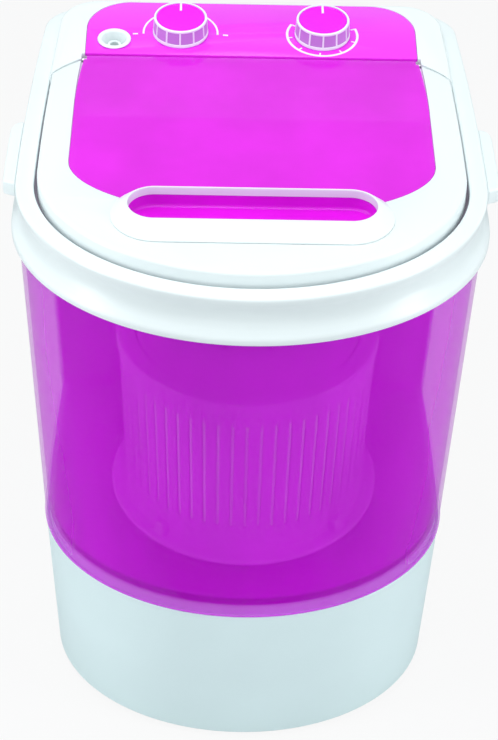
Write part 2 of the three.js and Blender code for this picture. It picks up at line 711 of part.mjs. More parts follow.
// The raised surround of the finger grip: an apron slopes down in front, and a thin rim runs behind.
function lidHandle() {
  const ring = (share) => {
    const back = BEZEL_BACK * share;
    const front = BEZEL_FRONT * share;
    const shift = (back - front) / 2;
    const halfWidth = GRIP_HALF_WIDTH + (back + front) / 2;
    return pill(GRIP_HALF_LENGTH + BEZEL_SIDE * share, halfWidth).map((p) => v2(p.x, p.y + shift));
  };
  const foot = LID_TOP + GAP;
  return skin(
    [
      lift(ring(0), foot),
      lift(ring(0), foot + BEZEL_HEIGHT - 1),
      lift(ring(0.06), foot + BEZEL_HEIGHT),
      lift(ring(0.2), foot + BEZEL_HEIGHT - 0.3),
      lift(ring(1), foot + 1),
      lift(ring(1), foot),
    ],
    true,
  );
}

add("lid_frame", lidFrame(), WHITE);
add("lid_window", lidWindow(), MAGENTA);
add("lid_handle", lidHandle(), WHITE);
[-1, 1].forEach((side) => {
  const inner = side * (HINGE_HALF - 2 - HINGE_PIN_INSIDE + 1);
  const outer = side * (HINGE_HALF + HINGE_PIN_OUTSIDE);
  const pin = rodAlongX(HINGE_PIN_RADIUS, min(inner, outer), max(inner, outer), HINGE_Y, HINGE_Z, 12);
  add(`hinge_pin_${side < 0 ? "left" : "right"}`, pin, STEEL);
});

// ---- Console ------------------------------------------------------------------------------------------

const slopeZ = (drop) => (p) => LID_TOP - drop + (p.y - CONSOLE_FRONT) * tan(CONSOLE_TILT);

// The console's outline, from beside the lid's cut corners round the back.
function consolePlan(inset) {
  const edge = CONSOLE_INSET + inset;
  const radius = CONSOLE_CORNER - inset;
  const end = REAR_DEPTH - edge - radius;
  const start = LID_REAR - LID_CHAMFER_DEPTH - 2;
  const side = rounds(SIDE_STEPS, start, end).map((y) => v2(sideX(edge, y), y));
  const corner = arc(sideX(edge, end) - radius, end, radius, 0, PI / 2, CORNER_STEPS).slice(1);
  const right = [...side, ...corner];
  return [...right, ...mirrored(right)];
}

const fasciaOutline = (grow) => {
  const half = FASCIA_HALF + grow;
  const back = FASCIA_DEPTH + grow;
  const r = FASCIA_CORNER;
  return [
    v2(-half, -grow),
    v2(half, -grow),
    ...arc(half - r, back - r, r, 0, PI / 2, 8),
    ...arc(-half + r, back - r, r, PI / 2, PI, 8),
  ];
};
const FASCIA_SEAT = FASCIA_THICK + GAP;

// The console standing `inset` inside its own walls: in front it gives way to the lid and its cut corners.
function consoleShape(inset, low, drop) {
  const outline = consolePlan(inset);
  const upright = stack([
    [outline, low],
    [outline, slopeZ(drop + 1.6)],
    [consolePlan(inset + 1.4), slopeZ(drop)],
  ]);
  const half = LID_CHAMFER_X + LID_SEAM + inset;
  const front = LID_REAR - LID_CHAMFER_DEPTH + LID_SEAM + inset;
  const lidSpace = union(
    block(-FAR, FAR, -FAR, front, 0, FAR),
    prism(lidPlan(LID_INSET - LID_SEAM - inset), low - 5, FAR),
    block(-half, half, -FAR, CONSOLE_FRONT + inset, 0, FAR),
  );
  return upright.subtract(lidSpace);
}

function consoleHousing() {
  const foot = LEDGE_TOP + GAP;
  const outer = consoleShape(0, foot, 0);
  const hollow = consoleShape(WALL, foot - 5, FASCIA_SEAT + WALL);
  const seat = onConsole(prism(fasciaOutline(GAP), -FASCIA_SEAT, 20));
  const knobHoles = [-1, 1].map((side) =>
    onConsole(moved(rod(SPINDLE_RADIUS + RUN, -20, 20, 16), side * KNOB_X, KNOB_BACK, 0)),
  );
  const inletHole = onConsole(moved(rod(INLET_RADIUS + GAP, -20, 20, 24), INLET_X, INLET_BACK, 0));
  const reach = HINGE_HALF + HINGE_PIN_OUTSIDE + 1;
  const pinHoles = rodAlongX(HINGE_PIN_RADIUS + FIT, -reach, reach, HINGE_Y, HINGE_Z, 12);
  return outer.subtract(hollow).subtract(union(seat, ...knobHoles, inletHole, pinHoles));
}

function controlFascia() {
  const holes = [-1, 1].map((side) =>
    moved(rod(SPINDLE_RADIUS + RUN, -20, 20, 16), side * KNOB_X, KNOB_BACK, 0),
  );
  const inlet = moved(rod(INLET_RADIUS + GAP, -20, 20, 24), INLET_X, INLET_BACK, 0);
  return prism(fasciaOutline(0), -FASCIA_THICK, 0).subtract(union(...holes, inlet));
}

function waterInlet() {
  const r = INLET_RADIUS;
  const cup = turned(
    [
      [3.2, -INLET_DEPTH],
      [r - 1, -INLET_DEPTH],
      [r - 1, -3],
      [r, -3],
      [r, 0.6],
      [r + 1.8, 0.6],
      [r + 1.4, 1.6],
      [r - 1.2, 1.6],
      [r - 5, -INLET_DEPTH + 3],
      [5.2, -INLET_DEPTH + 3],
      [5.2, -4],
      [3.2, -4],
      [3.2, -INLET_DEPTH],
    ],
    16,
  );
  return moved(cup, INLET_X, INLET_BACK, 0);
}

// A dial knob: flutes run up its side, and its top has a sunk seat for the coloured cap.
function knob() {
  const star = (radius) =>
    rounds(KNOB_FLUTES * 2, 0, 2 * PI).slice(1).map((a, i) => {
      const r = i % 2 ? radius : radius - KNOB_FLUTE;
      return v2(r * cos(a), r * sin(a));
    });
  const cone = stack([
    [star(KNOB_BASE_RADIUS), 0],
    [star(KNOB_BASE_RADIUS - 0.4), 1.6],
    [star(KNOB_TOP_RADIUS), KNOB_HEIGHT - 0.8],
    [star(KNOB_TOP_RADIUS - 0.8), KNOB_HEIGHT],
  ]);
  const seat = rod(CAP_RADIUS + FIT, KNOB_HEIGHT - CAP_THICK, KNOB_HEIGHT + 5, 20);
  const under = rod(KNOB_BASE_RADIUS - 4.5, -1, 2, 20);
  return cone.subtract(union(seat, under, rod(SPINDLE_RADIUS + FIT, -1, 9, 12)));
}
const knobCap = () => rod(CAP_RADIUS, KNOB_HEIGHT - CAP_THICK + FIT, KNOB_HEIGHT - 0.2, 20);
const spindle = () => rod(SPINDLE_RADIUS, -FASCIA_SEAT - WALL - 6, 8, 12);

function switchBody(height) {
  const top = -FASCIA_SEAT - WALL - 1;
  const box = block(-SWITCH_SIZE / 2, SWITCH_SIZE / 2, -SWITCH_SIZE / 2, SWITCH_SIZE / 2, top - height, top);
  const tab = block(-3, 3, -2, 2, top - height - 6, top - height);
  const tabs = [moved(tab, -8, 0, 0), moved(tab, 8, 0, 0)];
  return union(box, ...tabs).subtract(rod(SPINDLE_RADIUS + RUN, top - 10, top + 5, 16));
}

add("console_housing", consoleHousing(), WHITE);
add("control_fascia", controlFascia(), MAGENTA, console_);
add("water_inlet_port", waterInlet(), WHITE, console_);
[
  ["selector", -1, "function_switch", SWITCH_HEIGHT - 6],
  ["timer", 1, "wash_timer", SWITCH_HEIGHT],
].forEach(([name, side, inside, height]) => {
  const place = (made) => moved(made, side * KNOB_X, KNOB_BACK, 0);
  add(`${name}_knob`, moved(place(knob()), 0, 0, 0.5), WHITE, console_);
  add(`${name}_knob_cap`, moved(place(knobCap()), 0, 0, 0.5), KNOB_PINK, console_);
  add(`${name}_spindle`, place(spindle()), STEEL, console_);
  add(inside, place(switchBody(height)), DARK, console_);
});

// The spout that leads the inlet water over the tub's back wall.
function inletSpout() {
  const top = LID_TOP + INLET_BACK * sin(CONSOLE_TILT) - INLET_DEPTH - 1.8;
  const path = new THREE.CatmullRomCurve3([
    new THREE.Vector3(INLET_X, CONSOLE_FRONT + INLET_BACK + 1, top),
    new THREE.Vector3(INLET_X, CONSOLE_FRONT + INLET_BACK - 1, SPOUT_Z + 7),
    new THREE.Vector3(INLET_X, CONSOLE_FRONT + INLET_BACK - 13, SPOUT_Z + 1),
    new THREE.Vector3(INLET_X, TUB_REAR + 6, SPOUT_Z),
    new THREE.Vector3(INLET_X, TUB_REAR - 12, SPOUT_Z),
  ]);
  const section = new THREE.Shape(arc(0, 0, SPOUT_RADIUS, 0, 2 * PI, 10).slice(0, -1));
  return solid(new THREE.ExtrudeGeometry(section, { steps: 10, extrudePath: path, bevelEnabled: false }));
}
add("inlet_spout", inletSpout(), WHITE);

// ---- Drive --------------------------------------------------------------------------------------------

const housingTop = TUB_FLOOR - GAP;
const housingBottom = TUB_FLOOR - HOUSING_DROP;
const seatRadius = BEARING_RADIUS + FIT;
const upperBearing = housingTop - 2 - BEARING_HEIGHT;
const lowerBearing = housingBottom + 2;

function bearingHousing() {
  return turned(
    [
      [12, lowerBearing + BEARING_HEIGHT + FIT],
      [seatRadius, lowerBearing + BEARING_HEIGHT + FIT],
      [seatRadius, housingBottom],
      [HOUSING_RADIUS, housingBottom],
      [HOUSING_RADIUS, housingTop - 14],
      [HOUSING_RADIUS + 4, housingTop - 5],
      [42, housingTop - 5],
      [42, housingTop],
      [seatRadius, housingTop],
      [seatRadius, upperBearing - FIT],
      [12, upperBearing - FIT],
      [12, lowerBearing + BEARING_HEIGHT + FIT],
    ],
    20,
  );
}

const bearing = (z) =>
  turned(
    [
      [SHAFT_RADIUS + RUN, z],
      [BEARING_RADIUS, z],
      [BEARING_RADIUS, z + BEARING_HEIGHT],
      [SHAFT_RADIUS + RUN, z + BEARING_HEIGHT],
      [SHAFT_RADIUS + RUN, z],
    ],
    16,
  );

function shaftSeal() {
  const bore = SHAFT_RADIUS + RUN;
  const profile = [
    [bore, TUB_FLOOR],
    [SEAL_RADIUS, TUB_FLOOR],
    [SEAL_RADIUS, BOSS_TOP - GAP],
    [bore + 2, BOSS_TOP - GAP],
    [bore, BOSS_TOP - 3],
    [bore, TUB_FLOOR],
  ];
  return turned(profile, 16);
}

const hubTop = BASKET_BOTTOM - FIT;
const shaftTop = BASKET_BOTTOM + 8;

// A grooved pulley with a web and a hub; its groove is centred on its width.
function pulley(radius, hubRadius, boreRadius) {
  const low = PULLEY_Z;
  const high = PULLEY_Z + PULLEY_WIDTH;
  const mid = (low + high) / 2;
  const half = BELT_WIDTH / 2 + 0.6;
  return turned(
    [
      [boreRadius, low],
      [hubRadius, low],
      [hubRadius, low + 5],
      [radius - 8, low + 5],
      [radius - 8, low + 2],
      [radius, low + 2],
      [radius, mid - half - 1],
      [radius - GROOVE, mid - half],
      [radius - GROOVE, mid + half],
      [radius, mid + half + 1],
      [radius, high - 2],
      [radius - 8, high - 2],
      [radius - 8, high - 5],
      [hubRadius, high - 5],
      [hubRadius, high],
      [boreRadius, high],
      [boreRadius, low],
    ],
    22,
  );
}

function motorPulley() {
  const mid = PULLEY_Z + PULLEY_WIDTH / 2;
  const half = BELT_WIDTH / 2 + 0.6;
  const r = SMALL_PULLEY_RADIUS;
  const bore = MOTOR_SHAFT_RADIUS + FIT;
  return turned(
    [
      [bore, PULLEY_Z],
      [r, PULLEY_Z],
      [r, mid - half - 1],
      [r - GROOVE, mid - half],
      [r - GROOVE, mid + half],
      [r, mid + half + 1],
      [r, PULLEY_Z + PULLEY_WIDTH],
      [bore, PULLEY_Z + PULLEY_WIDTH],
      [bore, PULLEY_Z],
    ],
    16,
  );
}

function pulleyNut() {
  const hexagon = arc(0, 0, SHAFT_RADIUS + 4.4, 0, 2 * PI, 6).slice(0, -1);
  const bore = rod(SHAFT_RADIUS + FIT, 0, FAR, 20);
  return prism(hexagon, PULLEY_Z - 8, PULLEY_Z - GAP).subtract(bore);
}

// The belt: a loop that wraps both pulleys, running clear of their grooves' floors.
function driveBelt() {
  const loop = (grow) => {
    const big = BIG_PULLEY_RADIUS - GROOVE + RUN + grow;
    const small = SMALL_PULLEY_RADIUS - GROOVE + RUN + grow;
    const lean = asin((big - small) / BELT_CENTRES);
    return [
      ...arc(0, 0, big, PI - lean, 2 * PI + lean, 28),
      ...arc(0, BELT_CENTRES, small, lean, PI - lean, 10),
    ];
  };
  const mid = PULLEY_Z + PULLEY_WIDTH / 2;
  const low = mid - BELT_WIDTH / 2;
  const high = low + BELT_WIDTH;
  return prism(loop(BELT_THICK), low, high).subtract(prism(loop(0), low - 1, high + 1));
}

function pulsator() {
  const low = PULSATOR_BOTTOM;
  const dish = turned(
    [
      [SHAFT_RADIUS + FIT, low + 3],
      [18, low + 3],
      [PULSATOR_RADIUS - 6, low],
      [PULSATOR_RADIUS, low],
      [PULSATOR_RADIUS, low + 2],
      [PULSATOR_RADIUS - 6, low + 3],
      [24, low + 6],
      [20, hubTop],
      [SHAFT_RADIUS + FIT, hubTop],
      [SHAFT_RADIUS + FIT, low + 3],
    ],
    24,
  );
  const vane = block(20, PULSATOR_RADIUS - 8, -3, 3, low + 2, hubTop - 1);
  const vanes = rounds(VANES, 0, 360).slice(1).map((a) => vane.rotate([0, 0, a]));
  return union(dish, ...vanes);
}

function spinBasket() {
  const top = BASKET_TOP;
  const lean = (BASKET_RADIUS_TOP - BASKET_RADIUS_BOTTOM) / (top - BASKET_BOTTOM);
  const out = (z) => BASKET_RADIUS_BOTTOM + (z - BASKET_BOTTOM) * lean;
  const rimInner = out(top) - BASKET_RIM_WIDTH;
  const shell = turned(
    [
      [SHAFT_RADIUS + FIT, BASKET_BOTTOM],
      [FLANGE_RADIUS, BASKET_BOTTOM],
      [FLANGE_RADIUS - 0.4, BASKET_BOTTOM + 3.4],
      [out(BASKET_BOTTOM) + 1, BASKET_BOTTOM + 4.4],
      [out(BASKET_BOTTOM + 8), BASKET_BOTTOM + 8],
      [out(top - 5), top - 5],
      [out(top) + 1.5, top - 3],
      [out(top), top],
      [rimInner, top],
      [rimInner, top - 2.4],
      [out(top - 6) - BASKET_WALL, top - 6],
      [out(BASKET_BOTTOM + 8) - BASKET_WALL, BASKET_BOTTOM + 8],
      [out(BASKET_BOTTOM) - BASKET_WALL - 4, BASKET_BOTTOM + 3],
      [22, BASKET_BOTTOM + 3],
      [14, shaftTop + 3],
      [0, shaftTop + 3],
      [0, shaftTop + 0.4],
      [SHAFT_RADIUS + FIT, shaftTop + 0.4],
      [SHAFT_RADIUS + FIT, BASKET_BOTTOM],
    ],
    SLOTS,
  );
  const half = SLOT_WIDTH / 2;
  const slot = block(BASKET_RADIUS_BOTTOM - 12, FLANGE_RADIUS + 5, -half, half, SLOT_BOTTOM, SLOT_TOP);
  const slots = rounds(SLOTS, 0, 360).slice(1).map((a) => slot.rotate([0, 0, a + 180 / SLOTS]));
  return shell.subtract(union(...slots));
}

function basketLid() {
  const radius = BASKET_RADIUS_TOP - BASKET_RIM_WIDTH - 0.8;
  const high = BASKET_TOP - 0.6;
  const low = high - BASKET_LID_THICK;
  const plate = rod(radius, low, high, 40);
  const hole = rod(5, low - 1, high + 1, 6);
  const ring = (r, count) =>
    rounds(count, 0, 2 * PI).slice(1).map((a) => moved(hole, r * cos(a), r * sin(a), 0));
  const bar = block(-16, 16, -2.5, 2.5, high - 0.5, high + 9);
  return union(plate.subtract(union(...ring(34, 6), ...ring(64, 10))), bar);
}

add("bearing_housing", bearingHousing(), ALLOY, drive);
add("lower_bearing", bearing(lowerBearing), STEEL, drive);
add("upper_bearing", bearing(upperBearing), STEEL, drive);
add("shaft_seal", shaftSeal(), DARK, drive);
add("drive_shaft", rod(SHAFT_RADIUS, SHAFT_BOTTOM, shaftTop), STEEL, drive);
add("large_pulley", pulley(BIG_PULLEY_RADIUS, 15, SHAFT_RADIUS + FIT), ALLOY, drive);
add("pulley_nut", pulleyNut(), STEEL, drive);
add("wash_pulsator", pulsator(), WHITE, drive);
add("spin_basket", spinBasket(), BASKET_PINK, drive);
add("basket_lid", basketLid(), BASKET_PINK, drive);
add("drive_belt", driveBelt(), DARK, drive);

// ---- Motor, bracket and capacitor ---------------------------------------------------------------------

const motorAt = (made) => moved(made, 0, BELT_CENTRES, 0);

function motorBody() {
  const can = turned(
    [
      [MOTOR_SHAFT_RADIUS + RUN, MOTOR_BOTTOM],
      [14, MOTOR_BOTTOM],
      [14, MOTOR_BOTTOM + 5],
      [MOTOR_RADIUS - 6, MOTOR_BOTTOM + 5],
      [MOTOR_RADIUS, MOTOR_BOTTOM + 11],
      [MOTOR_RADIUS, MOTOR_TOP - 8],
      [MOTOR_RADIUS - 4, MOTOR_TOP],
      [0, MOTOR_TOP],
      [0, MOTOR_BOTTOM + 20],
      [MOTOR_SHAFT_RADIUS + RUN, MOTOR_BOTTOM + 20],
      [MOTOR_SHAFT_RADIUS + RUN, MOTOR_BOTTOM],
    ],
    28,
  );
  return motorAt(can);
}

function motorBracket() {
  const low = MOTOR_TOP + GAP;
  const plate = block(-62, 62, BELT_CENTRES - 22, BELT_CENTRES + 22, low, low + BRACKET_THICK - GAP);
  const hole = motorAt(rod(10, low - 20, low + 20, 20));
  return plate.subtract(hole);
}

add("motor_body", motorBody(), MOTOR_GREY, drive);
add("motor_bracket", motorBracket(), STEEL, drive);
add("motor_shaft", motorAt(rod(MOTOR_SHAFT_RADIUS, PULLEY_Z - 4, MOTOR_BOTTOM + 19, 20)), STEEL, drive);
add("motor_pulley", motorAt(motorPulley()), ALLOY, drive);

const CAPACITOR_TOP = 70;
function capacitor() {
  const low = COVER_BOTTOM + COVER_THICK + GAP;
  const profile = [
    [0, low],
    [16, low],
    [16, CAPACITOR_TOP - 2],
    [14, CAPACITOR_TOP],
    [0, CAPACITOR_TOP],
  ];
  return turned(profile, 20);
}
add("capacitor", moved(capacitor(), 100, 120, 0), WHITE);

// ---- Drain, cord gland and wiring ---------------------------------------------------------------------

const baseWallY = REAR_DEPTH - BASE_INSET_BOTTOM;

function drainElbow() {
  const top = TUB_FLOOR - GAP;
  const end = baseWallY - OUTLET_INSIDE;
  const at = (y, z) => new THREE.Vector3(DRAIN_X, y, z);
  const bendStart = at(DRAIN_BACK, DRAIN_OUTLET_Z + DRAIN_BEND);
  const bendEnd = at(DRAIN_BACK + DRAIN_BEND, DRAIN_OUTLET_Z);
  const path = new THREE.CurvePath();
  path.add(new THREE.LineCurve3(at(DRAIN_BACK, top), bendStart));
  path.add(new THREE.QuadraticBezierCurve3(bendStart, at(DRAIN_BACK, DRAIN_OUTLET_Z), bendEnd));
  path.add(new THREE.LineCurve3(bendEnd, at(end, DRAIN_OUTLET_Z)));
  const tube = (radius) => {
    const section = new THREE.Shape(arc(0, 0, radius, 0, 2 * PI, 10).slice(0, -1));
    return solid(new THREE.ExtrudeGeometry(section, { steps: 9, extrudePath: path, bevelEnabled: false }));
  };
  const bore = union(
    tube(DRAIN_PIPE - 1),
    moved(rod(DRAIN_PIPE - 1, top - 3, top + 3, 12), DRAIN_X, DRAIN_BACK, 0),
    rodAlongY(DRAIN_PIPE - 1, end - 3, end + 3, DRAIN_X, DRAIN_OUTLET_Z, 12),
  );
  return tube(DRAIN_PIPE + 1).subtract(bore);
}

function drainOutlet() {
  const r = DRAIN_PIPE + 1;
  const start = baseWallY - OUTLET_INSIDE + GAP;
  const spout = turned(
    [
      [r - 3, 0],
      [r, 0],
      [r, 31],
      [r + 3, 31],
      [r + 3, 33],
      [r - 0.6, 33],
      [r - 0.6, 37],
      [r + 0.6, 39],
      [r - 1.2, 43],
      [r - 3, 43],
      [r - 3, 0],
    ],
    14,
  );
  return spout.rotate([-90, 0, 0]).translate([DRAIN_X, start, DRAIN_OUTLET_Z]);
}

function cordGland() {
  const lean = (BASE_INSET_BOTTOM - BASE_INSET_TOP) / (BASE_TOP - 10);
  const wall = REAR_DEPTH - BASE_INSET_BOTTOM + (GLAND_Z - 10) * lean;
  const inside = -WALL - 2.2;
  const bore = 3.2;
  const profile = [
    [bore, inside - 3.4],
    [GLAND_RADIUS + 3, inside - 3.4],
    [GLAND_RADIUS + 3, inside],
    [GLAND_RADIUS, inside],
    [GLAND_RADIUS, 0.7],
    [GLAND_RADIUS + 3.5, 0.7],
    [GLAND_RADIUS + 3.5, 3],
    [5.4, 12],
    [bore, 12],
    [bore, inside - 3.4],
  ];
  const bush = turned(profile, 12);
  return bush.rotate([-93, 0, 0]).translate([GLAND_X, wall, GLAND_Z]);
}

// The loom that runs from the timer down behind the tub to the motor.
function wiringHarness() {
  const p = (x, y, z) => new THREE.Vector3(x, y, z);
  const drop = FASCIA_SEAT + WALL + 1 + SWITCH_HEIGHT + 6 + GAP + 0.4;
  const top = p(KNOB_X - 8, KNOB_BACK, -drop).applyAxisAngle(p(1, 0, 0), CONSOLE_TILT);
  top.add(p(0, CONSOLE_FRONT, LID_TOP));
  const end = p(0, DRIVE_Y + BELT_CENTRES + MOTOR_RADIUS + 2 * GAP, (MOTOR_BOTTOM + MOTOR_TOP) / 2);
  const back = end.y + 34;
  const path = new THREE.CatmullRomCurve3([
    top,
    p(top.x, top.y, top.z - 12),
    p(30, back, top.z - 60),
    p(16, back + 4, 300),
    p(14, back, 200),
    p(6, back - 6, 150),
    p(end.x, end.y + 12, end.z),
    end,
  ]);
  const section = new THREE.Shape(arc(0, 0, 4, 0, 2 * PI, 8).slice(0, -1));
  return solid(new THREE.ExtrudeGeometry(section, { steps: 24, extrudePath: path, bevelEnabled: false }));
}

add("drain_elbow", drainElbow(), DARK);
add("drain_outlet", drainOutlet(), WHITE);
add("cord_gland", cordGland(), DARK);
add("wiring_harness", wiringHarness(), DARK);

export default machine;
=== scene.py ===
"""Fine surfaces, finishes, light and camera for a portable top load washing machine.

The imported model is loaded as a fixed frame. Each operator makes one piece, or a group of like pieces, in its
place, gives it its finish and ties it to the body it moves with. Lengths in the code are in millimetres.
"""

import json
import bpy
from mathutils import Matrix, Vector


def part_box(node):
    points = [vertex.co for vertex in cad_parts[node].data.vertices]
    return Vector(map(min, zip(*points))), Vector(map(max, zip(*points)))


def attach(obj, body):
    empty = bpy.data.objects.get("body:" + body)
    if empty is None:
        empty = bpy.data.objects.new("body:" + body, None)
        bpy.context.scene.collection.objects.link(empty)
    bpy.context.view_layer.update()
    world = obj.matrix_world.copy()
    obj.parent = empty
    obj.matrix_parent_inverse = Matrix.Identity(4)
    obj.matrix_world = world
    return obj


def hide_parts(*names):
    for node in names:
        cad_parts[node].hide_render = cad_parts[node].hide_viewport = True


bl_info = {
    "name": "Portable Top Load Washer",
    "version": (1, 0, 0),
    "blender": (4, 5, 0),
    "location": "View3D > Sidebar > Washer",
    "description": "Builds the pieces, finishes and stage of a portable top load washing machine",
    "category": "Object",
}

from math import cos, pi, radians, sin, tan

import bmesh
import bpy
from mathutils import Matrix, Vector

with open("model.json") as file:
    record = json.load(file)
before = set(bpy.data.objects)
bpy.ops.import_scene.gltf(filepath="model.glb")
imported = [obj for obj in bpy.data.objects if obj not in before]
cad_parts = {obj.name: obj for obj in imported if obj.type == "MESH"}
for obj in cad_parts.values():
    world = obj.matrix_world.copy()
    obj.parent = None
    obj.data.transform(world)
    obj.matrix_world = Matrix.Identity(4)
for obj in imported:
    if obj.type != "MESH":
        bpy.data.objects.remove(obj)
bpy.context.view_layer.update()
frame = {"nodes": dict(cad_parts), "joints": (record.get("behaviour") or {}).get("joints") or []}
JOINTS = {joint["name"]: joint for joint in frame["joints"]}

MM = 0.001
GAP = 0.4  # clearance between neighbours
WALL = 3.0
SHARP_FROM = radians(35)  # edges sharper than this stay crisp


def box_mm(node):
    """Lowest and highest corner of a frame node, in millimetres."""
    low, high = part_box(node)
    return low / MM, high / MM


# ---- Sizes and colours ---------------------------------------------------------------------------------


def length(name, text, default_mm):
    """A length property whose default is given in millimetres."""
    return bpy.props.FloatProperty(name=name, description=text, default=default_mm * MM, unit="LENGTH")


def colour(name, text, default):
    """A colour property."""
    return bpy.props.FloatVectorProperty(
        name=name, description=text, default=default, subtype="COLOR", size=3, min=0, max=1
    )


class WasherSizes(bpy.types.PropertyGroup):
    """Sizes that the pieces share."""

    front_depth: length("Front depth", "Depth of the rounded front at the rim", 140)
    rear_corner: length("Rear corner", "Radius of the rim's rear corners", 32)
    side_bow: length("Side bow", "Radius of the gentle curve of each side", 2800)
    rim_edge: length("Rim edge", "Rounding of the collar's upper edge", 2.6)
    lid_edge: length("Lid edge", "Rounding of the lid's upper edge", 2.4)
    base_fillet: length("Base fillet", "Rounding of the base's lower edge", 3.5)
    slot_width: length("Slot width", "Width of each slot in the spin basket", 3)
    slot_count: bpy.props.IntProperty(name="Slots", description="Slots round the basket", default=56)
    rib_count: bpy.props.IntProperty(name="Dial ribs", description="Grip ribs round each dial", default=12)


class WasherColours(bpy.types.PropertyGroup):
    """Colours that a user may change."""

    # White plastic with a cyan lean that is painted shade: lit parts stay white and shaded parts turn pale
    # cyan.
    shell: colour("Shell", "White moulded shell", (0.87, 0.935, 0.945))
    tub: colour("Tub", "See-through tub", (0.86, 0.0, 1.0))
    window: colour("Window", "See-through lid window", (1.0, 0.015, 1.0))
    panel: colour("Panel", "Control panel", (0.97, 0.04, 0.96))
    basket: colour("Basket", "Spin basket", (0.86, 0.17, 0.95))
    dial: colour("Dial insert", "Insert in each dial", (0.93, 0.0, 0.93))
    print_white: colour("Print", "Printed dial scales", (0.93, 0.93, 0.93))


def sizes():
    return bpy.context.scene.washer_sizes


def colours():
    return bpy.context.scene.washer_colours


# ---- Shader maths --------------------------------------------------------------------------------------


class Field:
    """A shader value that Python operators work on."""

    def __init__(self, finish, socket):
        self.finish = finish
        self.socket = socket

    def _maths(self, operation, *values):
        node = self.finish.node("ShaderNodeMath", {"operation": operation}, *values)
        return Field(self.finish, node.outputs[0])

    def __add__(self, other):
        return self._maths("ADD", self, other)

    def __radd__(self, other):
        return self._maths("ADD", other, self)

    def __mul__(self, other):
        return self._maths("MULTIPLY", self, other)

    def __rmul__(self, other):
        return self._maths("MULTIPLY", other, self)

    def steps(self, low, high):
        """0 below low, 1 above high, and a smooth rise between."""
        node = self.finish.node(
            "ShaderNodeMapRange", {"interpolation_type": "SMOOTHSTEP"}, self, low, high, 0.0, 1.0
        )
        return Field(self.finish, node.outputs[0])


class Shading:
    """A shader tree, with one method that adds any node."""

    def __init__(self, tree):
        self.tree = tree

    def node(self, kind, settings, *values, **named):
        """Adds a node: its settings first, then values or links for its sockets, in order or by name."""
        node = self.tree.nodes.new(kind)
        for key, value in settings.items():
            setattr(node, key, value)
        pairs = [(node.inputs[i], value) for i, value in enumerate(values)]
        pairs += [(node.inputs[key.replace("_", " ")], value) for key, value in named.items()]
        for socket, value in pairs:
            self.fill(socket, value)
        return node

    def fill(self, socket, value):
        if isinstance(value, Field):
            self.tree.links.new(value.socket, socket)
        elif isinstance(value, bpy.types.NodeSocket):
            self.tree.links.new(value, socket)
        else:
            socket.default_value = value

    def mix(self, share, first, second):
        """A colour between two colours."""
        node = self.node("ShaderNodeMix", {"data_type": "RGBA"})
        for key, value in (("Factor_Float", share), ("A_Color", first), ("B_Color", second)):
            self.fill(next(s for s in node.inputs if s.identifier == key), value)
        return next(s for s in node.outputs if s.identifier == "Result_Color")


class Finish(Shading):
    """A material on one Principled shader, with helpers for its patterns."""

    def __init__(self, name, base, roughness, metallic=0.0, **constants):
        self.material = bpy.data.materials.new(name)
        self.material.use_nodes = True
        super().__init__(self.material.node_tree)
        self.shader = self.tree.nodes["Principled BSDF"]
        self.base = (*base, 1.0)
        given = {"Base Color": self.base, "Roughness": roughness, "Metallic": metallic, **constants}
        for socket, value in given.items():
            self.set(socket.replace("_", " "), value)

    def set(self, socket, value):
        self.fill(self.shader.inputs[socket], value)
        return self

    def place(self, scale=(1, 1, 1)):
        """Object coordinates in metres, stretched by scale."""
        coordinates = self.node("ShaderNodeTexCoord", {}).outputs["Object"]
        mapping = self.node("ShaderNodeMapping", {"vector_type": "POINT"}, coordinates, Scale=scale)
        return mapping.outputs[0]

    def noise(self, scale, detail=3.0, rough=0.5, stretch=(1, 1, 1)):
        node = self.node(
            "ShaderNodeTexNoise",
            {"noise_dimensions": "3D"},
            Vector=self.place(stretch),
            Scale=scale,
            Detail=detail,
            Roughness=rough,
        )
        return Field(self, node.outputs["Fac"])

    def bump(self, height, distance, strength=1.0):
        """Raises the surface by height x distance (metres)."""
        node = self.node("ShaderNodeBump", {}, Strength=strength, Distance=distance, Height=height)
        return self.set("Normal", node.outputs["Normal"])


def tinted(rgb, factor):
    return (*(min(1.0, c * factor) for c in rgb[:3]), 1.0)


def moulded(name, base, roughness=0.3, spread=0.05, grain=300, depth=0.00002, shade=0.96, **constants):
    """Moulded plastic: faint flow marks in the colour, a slightly uneven gloss and a fine grain."""
    finish = Finish(name, base, roughness, **constants)
    flow = finish.noise(9, 2, 0.5)
    finish.set("Base Color", finish.mix(flow.steps(0.35, 0.7), tinted(base, shade), finish.base))
    finish.set("Roughness", finish.noise(55, 4, 0.6) * (2 * spread) + (roughness - spread))
    return finish.bump(finish.noise(grain, 2, 0.5), depth, 0.08)


def clear(name, base, alpha, roughness=0.1, **constants):
    """See-through coloured plastic with a polished surface and a slightly wavy inner flow."""
    finish = Finish(name, base, roughness, Alpha=alpha, **constants)
    flow = finish.noise(14, 3, 0.5, (1, 1, 0.35))
    finish.set("Base Color", finish.mix(flow.steps(0.3, 0.75), tinted(base, 0.88), finish.base))
    finish.set("Roughness", finish.noise(40, 3, 0.6) * 0.08 + (roughness - 0.03))
    return finish.bump(finish.noise(11, 1, 0.4), 0.0004, 0.12)


def metal(name, base, roughness, stretch, scale=260, spread=0.12):
    """Bare metal with fine marks drawn out along one direction."""
    finish = Finish(name, base, roughness, 1.0)
    marks = finish.noise(scale, 4, 0.65, stretch)
    finish.set("Base Color", finish.mix(marks, tinted(base, 0.8), finish.base))
    finish.set("Roughness", marks * (2 * spread) + (roughness - spread))
    return finish.bump(marks, 0.00003, 0.4)


